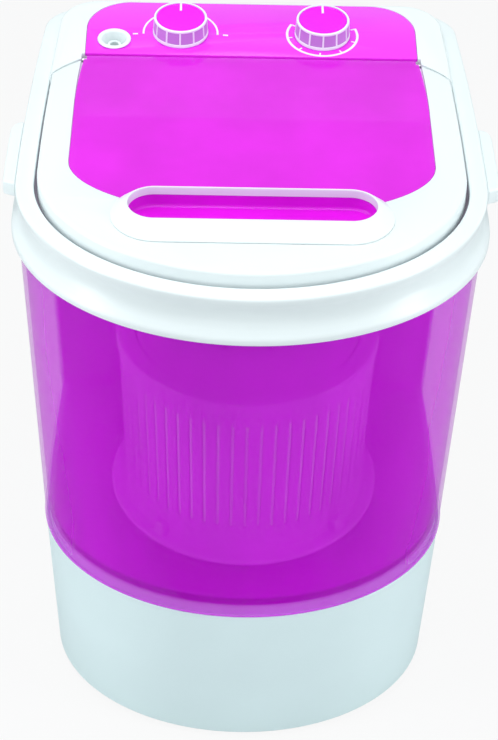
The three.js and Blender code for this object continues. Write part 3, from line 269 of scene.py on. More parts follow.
def make_finishes():
    """Every finish of the machine, by name."""
    c = colours()
    # The base's white is the shell's white with a tenth less red: painted cyan shade for the base.
    cyan_shaded_white = (c.shell[0] * 0.9, c.shell[1], c.shell[2])
    made = {
        "shell": moulded("white_shell", tuple(c.shell), 0.3, 0.015, shade=0.985),
        "base": moulded("white_base", cyan_shaded_white, 0.4, grain=600, depth=0.00004, shade=0.965),
        "tub": clear("clear_tub", tuple(c.tub), 0.4, 0.16, Specular_IOR_Level=0.2),
        "window": clear("clear_window", tuple(c.window), 0.7, 0.09, Specular_IOR_Level=0.25),
        "filter": clear("clear_filter", tinted(c.window, 0.8)[:3], 0.55, 0.2),
        "panel": moulded(
            "magenta_panel", tuple(c.panel), 0.2, 0.03, 700, 0.00001, 0.95, Specular_IOR_Level=0.4
        ),
        "basket": moulded("basket_plastic", tuple(c.basket), 0.42, shade=0.93),
        # Pale pink for the strips in the basket's slots: painted light that stands in for light showing
        # through them.
        "slot_light_paint": moulded("painted_slot_light", (0.98, 0.62, 1.0), 0.42, shade=0.9),
        "dial": moulded("dial_insert", tuple(c.dial), 0.25, 0.04, 1200, 0.00002, 0.9, Specular_IOR_Level=0.3),
        "print": moulded("white_print", tuple(c.print_white), 0.5, 0.04, 2500, 0.00001, 0.98),
        "dial_side": moulded("dial_side", (0.55, 0.27, 0.68), 0.3, 0.04, 400, 0.00002, 0.93),
        # Dark grey-violet for the ring in the gap round the lid: painted shade of the gap.
        "gap_shade": moulded("lid_seal", (0.24, 0.2, 0.26), 0.6, 0.06, 500, 0.00003, 0.85),
        "dark": moulded("black_plastic", (0.018, 0.018, 0.02), 0.5, 0.1, 800, 0.00006, 0.6),
        "rubber": moulded("black_rubber", (0.014, 0.014, 0.014), 0.75, 0.1, 1500, 0.0001, 0.6),
        "steel": metal("zinc_steel", (0.6, 0.61, 0.63), 0.32, (1, 1, 12)),
        "alloy": metal("cast_alloy", (0.5, 0.51, 0.53), 0.45, (1, 1, 1), 420, 0.1),
        "motor": moulded("motor_paint", (0.13, 0.145, 0.16), 0.45, 0.08, 600, 0.00006, 0.85),
    }
    return {name: finish.material for name, finish in made.items()}


FINISHES = {}

# ---- Outlines ------------------------------------------------------------------------------------------

RIM_LOW, RIM_HIGH = box_mm("top_collar")
LIP_OUT = 4.0
HALF_WIDTH = RIM_HIGH.x - LIP_OUT
REAR_DEPTH_FROM = RIM_HIGH.y - LIP_OUT
RIM_TOP = RIM_HIGH.z
BASE_TOP = box_mm("outer_tub")[0].z
TUB_TOP = box_mm("outer_tub")[1].z
BASE_EDGE = box_mm("base_housing")[0].z
LID_TOP = box_mm("lid_frame")[1].z
LEDGE_TOP = box_mm("lid_frame")[0].z - GAP
LIP_BOTTOM = RIM_LOW.z + 3
BASE_INSET_BOTTOM = 20.0
BASE_INSET_TOP = 13.0
TUB_INSET_TOP = 0.6
TUB_FLOOR = BASE_TOP + 10
LID_INSET = 16.0
TILT = radians(4.5)


def span(low, high, steps):
    return [low + (high - low) * i / steps for i in range(steps + 1)]


def arc(x, y, radius, start, end, steps):
    return [(x + radius * cos(a), y + radius * sin(a)) for a in span(start, end, steps)]


def bend(a, b, c, steps):
    """Points on a smooth curve from a to c that b pulls towards itself."""
    return [a * (1 - t) ** 2 + b * (2 * t * (1 - t)) + c * t * t for t in span(0, 1, steps)]


def mirrored(points):
    return [(-x, y) for x, y in reversed(points)]


def widest_y():
    """Where the outline is widest, along Y."""
    return RIM_LOW.y + LIP_OUT + sizes().front_depth / MM


def rear_y():
    return REAR_DEPTH_FROM


def side_x(inset, y):
    away = y - widest_y()
    return HALF_WIDTH - inset - away * away / (2 * sizes().side_bow / MM)


def front_and_sides(inset, end, steps=96):
    """The front curve and both sides back to y = end, from the left end round to the right one."""
    middle = widest_y()
    depth = sizes().front_depth / MM - inset
    front = [((HALF_WIDTH - inset) * cos(a), middle + depth * sin(a)) for a in span(-pi, 0, steps)]
    side = [(side_x(inset, y), y) for y in span(middle, end, 14)[1:]]
    return mirrored(side) + front + side


def plan(inset, rear=None, corner=None):
    """The machine's outline standing `inset` inside the rim, with round corners behind."""
    rear = rear_y() if rear is None else rear
    corner = sizes().rear_corner / MM if corner is None else corner
    radius = max(corner - inset, 4)
    end = rear - inset - radius
    right = arc(side_x(inset, end) - radius, end, radius, 0, pi / 2, 12)[1:]
    return front_and_sides(inset, end) + right + mirrored(right)


def body_inset(z):
    return TUB_INSET_TOP + (TUB_TOP - z) * (BASE_INSET_TOP - TUB_INSET_TOP) / (TUB_TOP - BASE_TOP)


def tub_rear():
    """The outer face of the tub's upright back wall."""
    return box_mm("outer_tub")[1].y


def tub_plan(z, inward=0.0):
    lean = body_inset(z)
    return plan(lean + inward, tub_rear() + lean, 15 + lean)


def hinge_half():
    return box_mm("hinge_pin_right")[1].x - 6


def lid_rear():
    return box_mm("lid_frame")[1].y


def lid_corner(inset):
    """The lid's right rear corner, from the side to the rear edge, cut off on a slightly bowed slant."""
    rear = lid_rear() - (inset - LID_INSET)
    start = rear - 20
    a = Vector((side_x(inset, start), start))
    c = Vector((hinge_half() + 1 - (inset - LID_INSET), rear))
    return [tuple(p) for p in bend(a, (a + c) / 2 + Vector((2, 2)), c, 14)]


def lid_plan(inset):
    corner = lid_corner(inset)
    return front_and_sides(inset, corner[0][1]) + corner[1:] + mirrored(corner[1:])


def window_plan(grow, rear):
    """The lid's window: an elliptical front edge and sides that draw in a little towards the hinge."""
    half = 132 + grow
    middle = widest_y() + 10
    front = [(half * cos(a), middle + (65 + grow) * sin(a)) for a in span(-pi, 0, 64)]
    bend = widest_y() + 80
    side = [(half - t * t * (132 - hinge_half()), bend + (rear - bend) * t) for t in span(0, 1, 12)]
    return front + side + mirrored(side)


def pill(half_length, half_width, shift=0.0, steps=24):
    """A bar with round ends, about the finger grip's middle."""
    x = half_length - half_width
    y = grip_y() + shift
    return arc(x, y, half_width, -pi / 2, pi / 2, steps) + arc(-x, y, half_width, pi / 2, 3 * pi / 2, steps)


def grip_y():
    return widest_y() - 50.5


def grip(grow):
    return pill(87.5 + grow, 18.6 + grow)


def fillets(points, closed=True, steps=5):
    """A profile whose corners (a, z, radius) are rounded; a corner without a radius stays sharp."""
    made = []
    count = len(points)
    for i, (a, z, *radius) in enumerate(points):
        here = Vector((a, z))
        if not radius or (not closed and i in (0, count - 1)):
            made.append(here)
            continue
        before = Vector(points[i - 1][:2]) - here
        after = Vector(points[(i + 1) % count][:2]) - here
        reach = min(radius[0], before.length * 0.45, after.length * 0.45)
        start = here + before.normalized() * reach
        end = here + after.normalized() * reach
        made += bend(start, here, end, steps)
    return [(p.x, p.y) for p in made]


# ---- Meshes --------------------------------------------------------------------------------------------


def new_object(name, mesh):
    piece = bpy.data.objects.new(name, mesh)
    bpy.context.scene.collection.objects.link(piece)
    return piece


def from_bmesh(name, shape):
    """A bmesh in millimetres, made a metre-sized object with its faces pointing out."""
    bmesh.ops.remove_doubles(shape, verts=shape.verts, dist=1e-4)
    bmesh.ops.recalc_face_normals(shape, faces=shape.faces)
    bmesh.ops.scale(shape, vec=(MM, MM, MM), verts=shape.verts)
    mesh = bpy.data.meshes.new(name)
    shape.to_mesh(mesh)
    shape.free()
    return new_object(name, mesh)


def skin(name, rings, closed):
    """Rings of (x, y, z), skinned one to the next: a hoop if closed, and else with a cap at each end."""
    shape = bmesh.new()
    loops = [[shape.verts.new(p) for p in ring] for ring in rings]
    pairs = list(zip(loops, loops[1:]))
    if closed:
        pairs.append((loops[-1], loops[0]))
    for a, b in pairs:
        for i in range(len(a)):
            j = (i + 1) % len(a)
            shape.faces.new((a[i], a[j], b[j], b[i]))
    if not closed:
        shape.faces.new(list(reversed(loops[0])))
        shape.faces.new(loops[-1])
    return from_bmesh(name, shape)


def lifted(points, z):
    return [(x, y, z(x, y) if callable(z) else z) for x, y in points]


def hoop(name, profile, outline):
    """A closed profile of (inset, z) led round an outline."""
    return skin(name, [lifted(outline(inset), z) for inset, z in profile], True)


def stack(name, sections):
    """A solid through outlines at their heights."""
    return skin(name, [lifted(points, z) for points, z in sections], False)


def prism(name, points, low, high):
    return stack(name, [(points, low), (points, high)])


def block(name, x0, x1, y0, y1, z0, z1):
    return prism(name, [(x0, y0), (x1, y0), (x1, y1), (x0, y1)], z0, z1)


def wedge(name, foot, low, head, high):
    """A block along X that narrows: each end is (start, end, half width at start, half width at end)."""

    def outline(x0, x1, y0, y1):
        return [(x0, -y0), (x1, -y1), (x1, y1), (x0, y0)]

    return stack(name, [(outline(*foot), low), (outline(*head), high)])


def turned(name, profile, steps=96, closed=True):
    """A profile of (radius, z) turned round the Z axis. An open one ends on the axis."""
    shape = bmesh.new()
    rings = []
    for radius, z in profile:
        if radius < 1e-6:
            rings.append([shape.verts.new((0, 0, z))] * steps)
        else:
            rings.append([shape.verts.new((x, y, z)) for x, y in arc(0, 0, radius, 0, 2 * pi, steps)[:-1]])
    pairs = list(zip(rings, rings[1:]))
    if closed:
        pairs.append((rings[-1], rings[0]))
    for a, b in pairs:
        for i in range(steps):
            j = (i + 1) % steps
            corners = list(dict.fromkeys((a[i], a[j], b[j], b[i])))
            if len(corners) > 2:
                shape.faces.new(corners)
    return from_bmesh(name, shape)


def lathed(name, corners, steps=96, closed=False):
    """A turned piece whose profile has rounded corners."""
    return turned(name, fillets(corners, closed, 4), steps, closed)


def rod(name, radius, low, high, steps=64):
    return turned(name, [(0, low), (radius, low), (radius, high), (0, high)], steps, False)


def placed(piece, matrix):
    """Puts a piece's place into its mesh. Offsets in the matrix are in millimetres."""
    matrix = matrix.copy()
    matrix.translation *= MM
    piece.data.transform(matrix)
    return piece


def moved(piece, x, y, z):
    return placed(piece, Matrix.Translation((x, y, z)))


def aimed(piece, place, angle, axis):
    """Turns a piece about an axis through the origin, and then moves it to its place."""
    return placed(piece, Matrix.Translation(place) @ Matrix.Rotation(angle, 4, axis))


def applied(piece):
    """The piece with its modifiers made part of its mesh."""
    bpy.context.view_layer.update()
    graph = bpy.context.evaluated_depsgraph_get()
    mesh = bpy.data.meshes.new_from_object(piece.evaluated_get(graph))
    piece.modifiers.clear()
    old, piece.data = piece.data, mesh
    bpy.data.meshes.remove(old)
    return piece


def removed(piece):
    """Deletes a helper piece and its mesh."""
    mesh = piece.data
    bpy.data.objects.remove(piece)
    bpy.data.meshes.remove(mesh)


def join(piece, others, operation="DIFFERENCE"):
    """Cuts the other solids from a piece, or adds them to it, and removes them."""
    for other in others:
        modifier = piece.modifiers.new("cut", "BOOLEAN")
        modifier.operation = operation
        modifier.solver = "EXACT"
        modifier.object = other
    applied(piece)
    for other in others:
        removed(other)
    return piece


def rounded(piece, width, angle=50, segments=2):
    """Rounds every edge sharper than the angle."""
    modifier = piece.modifiers.new("round", "BEVEL")
    modifier.width = width * MM
    modifier.segments = segments
    modifier.limit_method = "ANGLE"
    modifier.angle_limit = radians(angle)
    modifier.use_clamp_overlap = True
    modifier.miter_outer = "MITER_ARC"
    return applied(piece)


def finished(piece, finish, body, *nodes, slot=None):
    """Gives a made piece its finish and body, and hides the frame nodes that it stands for. The slot argument
    is not used.
    """
    if not piece.data.polygons:
        raise RuntimeError(f"{piece.name} came out empty")
    piece.data.materials.clear()
    piece.data.materials.append(FINISHES[finish])
    piece.data.shade_smooth()
    piece.data.set_sharp_from_angle(angle=SHARP_FROM)
    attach(piece, body)
    if nodes:
        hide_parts(*nodes)
    return piece


def refined(node, finish, body, width=0.5):
    """A frame node's own shape with its faces merged and its edges rounded."""
    source = frame["nodes"][node]
    shape = bmesh.new()
    shape.from_mesh(source.data)
    bmesh.ops.remove_doubles(shape, verts=shape.verts, dist=1e-6)
    bmesh.ops.dissolve_limit(shape, angle_limit=radians(0.5), verts=shape.verts, edges=shape.edges)
    mesh = bpy.data.meshes.new(node + "_fine")
    shape.to_mesh(mesh)
    shape.free()
    piece = rounded(new_object(node + "_fine", mesh), width, 55)
    return finished(piece, finish, body, node)


# ---- Repeats -------------------------------------------------------------------------------------------


def repeat_tree():
    """Copies one piece along a step and round a turn, as plain mesh."""
    tree = bpy.data.node_groups.new("Repeat piece", "GeometryNodeTree")
    kinds = {"Piece": "Object", "Count": "Int", "Step": "Vector", "Turn": "Float", "Finish": "Material"}
    for name, kind in kinds.items():
        tree.interface.new_socket(name, in_out="INPUT", socket_type="NodeSocket" + kind)
    tree.interface.new_socket("Mesh", in_out="OUTPUT", socket_type="NodeSocketGeometry")
    add = tree.nodes.new
    link = tree.links.new
    given = add("NodeGroupInput")
    line = add("GeometryNodeMeshLine")
    line.mode = "OFFSET"
    info = add("GeometryNodeObjectInfo")
    index = add("GeometryNodeInputIndex")
    angle = add("ShaderNodeMath")
    angle.operation = "MULTIPLY"
    turn = add("ShaderNodeCombineXYZ")
    place = add("GeometryNodeInstanceOnPoints")
    real = add("GeometryNodeRealizeInstances")
    coat = add("GeometryNodeSetMaterial")
    out = add("NodeGroupOutput")
    link(given.outputs["Piece"], info.inputs["Object"])
    link(given.outputs["Count"], line.inputs["Count"])
    link(given.outputs["Step"], line.inputs["Offset"])
    link(index.outputs[0], angle.inputs[0])
    link(given.outputs["Turn"], angle.inputs[1])
    link(angle.outputs[0], turn.inputs["Z"])
    link(line.outputs[0], place.inputs["Points"])
    link(info.outputs["Geometry"], place.inputs["Instance"])
    link(turn.outputs[0], place.inputs["Rotation"])
    link(place.outputs[0], real.inputs[0])
    link(real.outputs[0], coat.inputs["Geometry"])
    link(given.outputs["Finish"], coat.inputs["Material"])
    link(coat.outputs[0], out.inputs[0])
    return tree


def repeated(name, piece, count, finish, step=(0, 0, 0), turn=0.0):
    """`count` copies of a piece, each one step and one turn (about Z) on from the last."""
    tree = bpy.data.node_groups.get("Repeat piece") or repeat_tree()
    keys = {s.name: s.identifier for s in tree.interface.items_tree if s.in_out == "INPUT"}
    holder = new_object(name, bpy.data.meshes.new(name))
    modifier = holder.modifiers.new("repeat", "NODES")
    modifier.node_group = tree
    values = {"Piece": piece, "Count": count, "Step": [s * MM for s in step], "Turn": turn}
    for key, value in {**values, "Finish": FINISHES[finish]}.items():
        modifier[keys[key]] = value
    applied(holder)
    removed(piece)
    return holder


def screw(name, place, length_mm, angle=0.0):
    """A fine cross-head screw for a frame node, at a place and turned about X."""
    outline = [(0, -2.2), (2.4, -2.1, 0.8), (4, -0.9, 0.5), (4, 0), (2, 0), (2, length_mm), (0, length_mm)]
    head = lathed(name + "_fine_0", outline, 32)
    arm, across = 2.1, 0.45
    slots = [
        block("arm", -arm, arm, -across, across, -3, -1.2),
        block("arm", -across, across, -arm, arm, -3, -1.2),
    ]
    return aimed(join(head, slots), place, angle, "X")


# ---- The dials' sloping panel --------------------------------------------------------------------------


def console_front():
    return lid_rear() + 8


def tilted(piece, x=0.0, back=0.0, up=0.0):
    """Puts a piece drawn on a level panel onto the console's slope."""
    place = Matrix.Translation((0, console_front(), LID_TOP)) @ Matrix.Rotation(TILT, 4, "X")
    return placed(piece, place @ Matrix.Translation((x, back, up)))


def fascia_depth():
    low, high = box_mm("control_fascia")
    return (high.y - low.y - 2.5 * sin(TILT)) / cos(TILT)


def fascia_plan(grow):
    half = hinge_half() - 0.5 + grow
    back = fascia_depth() + grow
    r = 35
    rear = arc(half - r, back - r, r, 0, pi / 2, 20) + arc(-half + r, back - r, r, pi / 2, pi, 20)
    return [(-half, -grow), (half, -grow)] + rear


KNOB_BACK = 29.0
KNOB_X = 55.0
KNOB_HEIGHT = 14.5
KNOB_FOOT = 21.5
KNOB_TOP = 20.5
KNOB_CORE = 19.0
KNOB_INSIDE = 17.6
INSERT_RADIUS = 18.6
INSERT_LOW = 13.2
SPINDLE_RADIUS = 3.0
INLET_X = -106.0
INLET_RADIUS = 11.2
INLET_BACK = 18.5


def slope(drop):
    def height(x, y):
        return LID_TOP - drop + (y - console_front()) * tan(TILT)

    return height


# ---- Operators -----------------------------------------------------------------------------------------


class BuildBase(bpy.types.Operator):
    """Make the white motor base with its rounded foot and the openings in its back"""

    bl_idname = "washer.base"
    bl_label = "Base"

    def execute(self, context):
        fillet = sizes().base_fillet / MM
        inner = body_inset(BASE_TOP) + WALL + 0.6
        profile = fillets(
            [
                (BASE_INSET_BOTTOM + 0.4, BASE_EDGE, fillet),
                (BASE_INSET_TOP + 0.1, BASE_TOP - GAP, 1.0),
                (inner, BASE_TOP - GAP),
                (inner, TUB_FLOOR - 3),
                (inner + 2.4, TUB_FLOOR - 3),
                (inner + 2.8, BASE_TOP - 6),
                (BASE_INSET_BOTTOM + WALL, 14),
                (BASE_INSET_BOTTOM + 4.6, 10),
                (BASE_INSET_BOTTOM + 4.6, BASE_EDGE),
            ],
            steps=7,
        )
        base = hoop("base_shell", profile, plan)
        drain_low, drain_high = box_mm("drain_outlet")
        gland_low, gland_high = box_mm("cord_gland")
        holes = []
        for low, high, radius in ((drain_low, drain_high, 10.4), (gland_low, gland_high, 6.4)):
            middle = (low + high) / 2
            hole = rod("hole", radius, -60, 60)
            holes.append(aimed(hole, (middle.x, rear_y() - 10, middle.z), pi / 2, "X"))
        foot = tub_plan(BASE_TOP, -1.4)
        notch = stack("notch", [(foot, BASE_TOP - GAP), (foot, TUB_FLOOR + 4)])
        join(notch, [prism("core", tub_plan(BASE_TOP, WALL + GAP), BASE_TOP - 5, TUB_FLOOR + 9)])
        join(base, [*holes, notch])
        finished(base, "base", "cabinet", "base_housing")
        return {"FINISHED"}


class BuildTub(bpy.types.Operator):
    """Make the see-through tub, its back wall and its floor"""

    bl_idname = "washer.tub"
    bl_label = "Tub"

    def execute(self, context):
        floor = TUB_FLOOR + WALL
        foot = [(tub_plan(BASE_TOP, 0.2), BASE_TOP)]
        for a in span(0.2, pi - 0.2, 8):
            foot.append((tub_plan(BASE_TOP, -0.9 * sin(a)), BASE_TOP + 1.3 - 1.1 * cos(a)))
        rise = [(tub_plan(z), z) for z in (BASE_TOP + 2.8, *span(BASE_TOP + 8, TUB_TOP, 6))]
        down = [(tub_plan(z, WALL), z) for z in reversed(span(floor + 9, TUB_TOP, 6))]
        bowl = []
        for a in span(0.2, pi / 2, 6):
            bowl.append((tub_plan(floor + 9, WALL + 7 * (1 - cos(a))), floor + 9 - 9 * sin(a)))
        inside = down + bowl
        shape = stack("tub_shell", foot + rise + inside)
        under = [(tub_plan(z, WALL), z) for z in (BASE_TOP - 5, TUB_FLOOR)]
        middle = box_mm("drive_shaft")
        x, y = (middle[0].x + middle[1].x) / 2, (middle[0].y + middle[1].y) / 2
        elbow = box_mm("drain_elbow")
        drain = rod("drain", 9, TUB_FLOOR - 20, TUB_FLOOR + 20)
        join(shape, [stack("under", under)])
        join(shape, [moved(rod("boss", 18, TUB_FLOOR, TUB_FLOOR + 8), x, y, 0)], "UNION")
        moved(drain, (elbow[0].x + elbow[1].x) / 2, elbow[0].y + 10, 0)
        join(shape, [moved(rod("bore", 13.4, TUB_FLOOR - 20, TUB_FLOOR + 20), x, y, 0), drain])
        finished(shape, "tub", "cabinet", "outer_tub")
        return {"FINISHED"}


class BuildRearCover(bpy.types.Operator):
    """Make the cover behind the tub, with its vent slots and screws"""

    bl_idname = "washer.rear_cover"
    bl_label = "Rear cover"

    def execute(self, context):
        def outline(sections):
            return [(plan(body_inset(z) + inward), z) for z, inward in sections]

        cover = stack("rear_cover_shell", outline([(BASE_TOP, 0.3), (BASE_TOP + 0.6, 0), (TUB_TOP, 0)]))
        start = box_mm("rear_cover")[0].y
        core = stack("core", outline([(BASE_TOP - 10, WALL), (TUB_TOP + 10, WALL)]))
        slot = block("slot", -45, 45, rear_y() - 40, rear_y() + 20, BASE_TOP + 50, BASE_TOP + 54)
        vents = repeated("vents", rounded(slot, 1.6, 60), 6, "shell", (0, 0, 10))
        front = block("front", -300, 300, -400, start, 0, 600)
        join(cover, [core, front, vents])
        rounded(cover, 0.5)
        finished(cover, "shell", "cabinet", "rear_cover")
        for i in range(1, 5):
            name = f"rear_cover_screw_{i}"
            low, high = box_mm(name)
            place = ((low.x + high.x) / 2, high.y - 2, (low.z + high.z) / 2)
            finished(screw(name, place, 12, pi / 2), "steel", "cabinet", name)
        return {"FINISHED"}


class BuildCollar(bpy.types.Operator):
    """Make the white collar round the top, with the deck under the hinge"""

    bl_idname = "washer.collar"
    bl_label = "Collar"

    def execute(self, context):
        hook = body_inset(TUB_TOP) + WALL + 1
        edge = sizes().rim_edge / MM
        rim_width = 13.4
        profile = fillets(
            [
                (-LIP_OUT, LIP_BOTTOM, 1.2),
                (-LIP_OUT, LIP_BOTTOM + 5, 3.5),
                (3.2, TUB_TOP + 4.5, 6),
                (4.4, RIM_TOP - 13, 5),
                (0, RIM_TOP - 5.5, 4),
                (0, RIM_TOP, edge * 1.5),
                (rim_width, RIM_TOP, 1.6),
                (rim_width, LEDGE_TOP, 0.6),
                (22, LEDGE_TOP, 0.8),
                (22, LEDGE_TOP - WALL),
                (hook + 2.6, LEDGE_TOP - WALL),
                (hook + 2.6, LIP_BOTTOM - 3),
                (hook, LIP_BOTTOM - 3),
                (hook, TUB_TOP + GAP),
                (0, TUB_TOP + GAP),
                (-LIP_OUT + 2.6, TUB_TOP - 3),
                (-LIP_OUT + 2.6, LIP_BOTTOM),
            ],
            steps=6,
        )
        collar = hoop("collar_ring", profile, plan)
        face = tub_rear() - WALL - GAP
        within = prism("within", plan(hook + 1), LIP_BOTTOM - 3, LEDGE_TOP)
        deck = block("deck", -300, 300, face - 5, tub_rear() + 12, LEDGE_TOP - WALL, LEDGE_TOP)
        apron = block("apron", -300, 300, face - 2.6, face, LIP_BOTTOM - 3, LEDGE_TOP)
        join(deck, [apron], "UNION")
        join(deck, [within], "INTERSECT")
        join(collar, [deck], "UNION")
        low, high = LIP_BOTTOM - 10, TUB_TOP + GAP
        room = stack("room", [(tub_plan(low, -GAP), low), (tub_plan(high, -GAP), high)])
        core = stack("core", [(tub_plan(low, WALL + GAP), low - 1), (tub_plan(high, WALL + GAP), high + 1)])
        join(room, [core])
        spout = rod("spout", 4.8, -10, 10)
        aimed(spout, (INLET_X, face, LEDGE_TOP - 15), pi / 2, "X")
        join(collar, [room, spout])
        finished(collar, "shell", "cabinet", "top_collar")
        # A dark ring on the ledge in the gap round the lid, cut away near the hinge: painted shade of the gap.
        low, high = LEDGE_TOP + 0.05, LEDGE_TOP + 0.8
        gap_shade = hoop("lid_seal", [(13.6, low), (13.6, high), (15.8, high), (15.8, low)], plan)
        join(gap_shade, [block("end", -300, 300, lid_rear() - 22, 400, low - 5, high + 5)])
        finished(gap_shade, "gap_shade", "cabinet")
        return {"FINISHED"}


class BuildHandles(bpy.types.Operator):
    """Make the carry handle on each side of the collar"""

    bl_idname = "washer.handles"
    bl_label = "Carry handles"

    def execute(self, context):
        for side, name in ((-1, "carry_handle_left"), (1, "carry_handle_right")):
            low, high = box_mm(name)
            out = max(abs(low.x), abs(high.x)) - HALF_WIDTH
            start, end = low.y, high.y
            inner = [(side_x(0, y) + GAP, y) for y in span(start, end, 16)]
            outer = [(side_x(-out, y), y) for y in span(end - 12, start + 4, 16)]
            turn = bend(Vector(inner[-1]), Vector((outer[0][0] - 1, end - 1)), Vector(outer[0]), 8)
            outline = [(side * x, y) for x, y in inner + turn[1:-1] + outer]
            bar = prism(name + "_fine", outline, low.z, high.z)
            finished(rounded(bar, 1.5, 40, 4), "shell", "cabinet", name)
        return {"FINISHED"}


BARREL_RADIUS = 3.5
PIN_RADIUS = 1.6


class BuildLid(bpy.types.Operator):
    """Make the lid: its white frame, the window with the sunk grip, and the grip's raised surround"""

    bl_idname = "washer.lid"
    bl_label = "Lid"

    def frame_piece(self):
        foot = LEDGE_TOP + GAP
        plate = LID_TOP - WALL
        edge = sizes().lid_edge / MM
        sections = [(lid_plan(LID_INSET + 0.5), foot), (lid_plan(LID_INSET), foot + 0.6)]
        for a in span(0, pi / 2, 6):
            sections.append((lid_plan(LID_INSET + edge * (1 - cos(a))), LID_TOP - edge + edge * sin(a)))
        lid = stack("lid_rim", sections)
        join(lid, [prism("hollow", lid_plan(LID_INSET + 2.5), foot - 5, plate)])
        rear = lid_rear()
        flange = [
            prism("seat", window_plan(4, rear - 1.5), plate - WALL, plate + 0.5),
            prism("seat", grip(9), plate - WALL, plate + 0.5),
        ]
        join(lid, flange, "UNION")
        cuts = [
            prism("way", window_plan(-4, rear - 8), plate - 10, LID_TOP + 5),
            prism("way", grip(2.4), plate - 10, LID_TOP + 5),
            prism("way", window_plan(GAP, rear + 20), plate - GAP, LID_TOP + 5),
            prism("way", grip(3.4), plate - GAP, LID_TOP + 5),
        ]
        join(lid, cuts)
        finished(rounded(lid, 0.45, 60), "shell", "lid", "lid_frame")

    def window_piece(self):
        plate = LID_TOP - WALL
        floor = box_mm("lid_window")[0].z + 2
        hinge = Vector(JOINTS["lid_hinge"]["pos_m"]) / MM
        half = hinge_half() - 2
        window = prism("lid_pane", window_plan(0, lid_rear() - 0.2), plate, LID_TOP)
        pocket = [(grip(2 - 2.5 * (1 - sin(a))), floor + 0.5 - 2.5 * cos(a)) for a in span(0, pi / 2, 5)]
        parts = [
            prism("surround", grip(3), plate, LID_TOP),
            stack("pocket", [*pocket, (grip(2), LID_TOP)]),
            aimed(rod("barrel", BARREL_RADIUS, -half, half, 48), (0, hinge.y, hinge.z), pi / 2, "Y"),
            block("web", -half, half, lid_rear() - 2, hinge.y, plate, LID_TOP),
        ]
        join(window, parts, "UNION")
        cuts = []
        for side in (-1, 1):
            bore = rod("bore", PIN_RADIUS + GAP, -9, 9, 32)
            cuts.append(aimed(bore, (side * (half - 6), hinge.y, hinge.z), pi / 2, "Y"))
        round_floor = [(grip(-3 * (1 - sin(a))), floor + 3 - 3 * cos(a)) for a in span(0, pi / 2, 6)]
        cuts.append(stack("fingers", [*round_floor, (grip(0), LID_TOP + 5)]))
        join(window, cuts)
        finished(rounded(window, 0.4, 60), "window", "lid", "lid_window")

    def handle_piece(self):
        foot = LID_TOP + GAP
        top = box_mm("lid_handle")[1].z

        def ring(reach):
            share = reach / 20
            back, front = 7 * share, 20 * share
            return pill(87.5 + 12 * share, 18.6 + (back + front) / 2, (back - front) / 2, 32)

        profile = fillets(
            [(0, foot), (0, top, 1.2), (3.5, top - 0.1, 2.5), (20, foot + 0.9, 1.6), (20, foot)], steps=6
        )
        handle = hoop("grip_surround", profile, ring)
        finished(handle, "shell", "lid", "lid_handle")

    def execute(self, context):
        self.frame_piece()
        self.window_piece()
        self.handle_piece()
        for side in ("left", "right"):
            name = "hinge_pin_" + side
            low, high = box_mm(name)
            pin = rod(name + "_fine", PIN_RADIUS, -(high.x - low.x) / 2, (high.x - low.x) / 2, 32)
            aimed(pin, (low + high) / 2, pi / 2, "Y")
            finished(rounded(pin, 0.3), "steel", "cabinet", name)
        return {"FINISHED"}


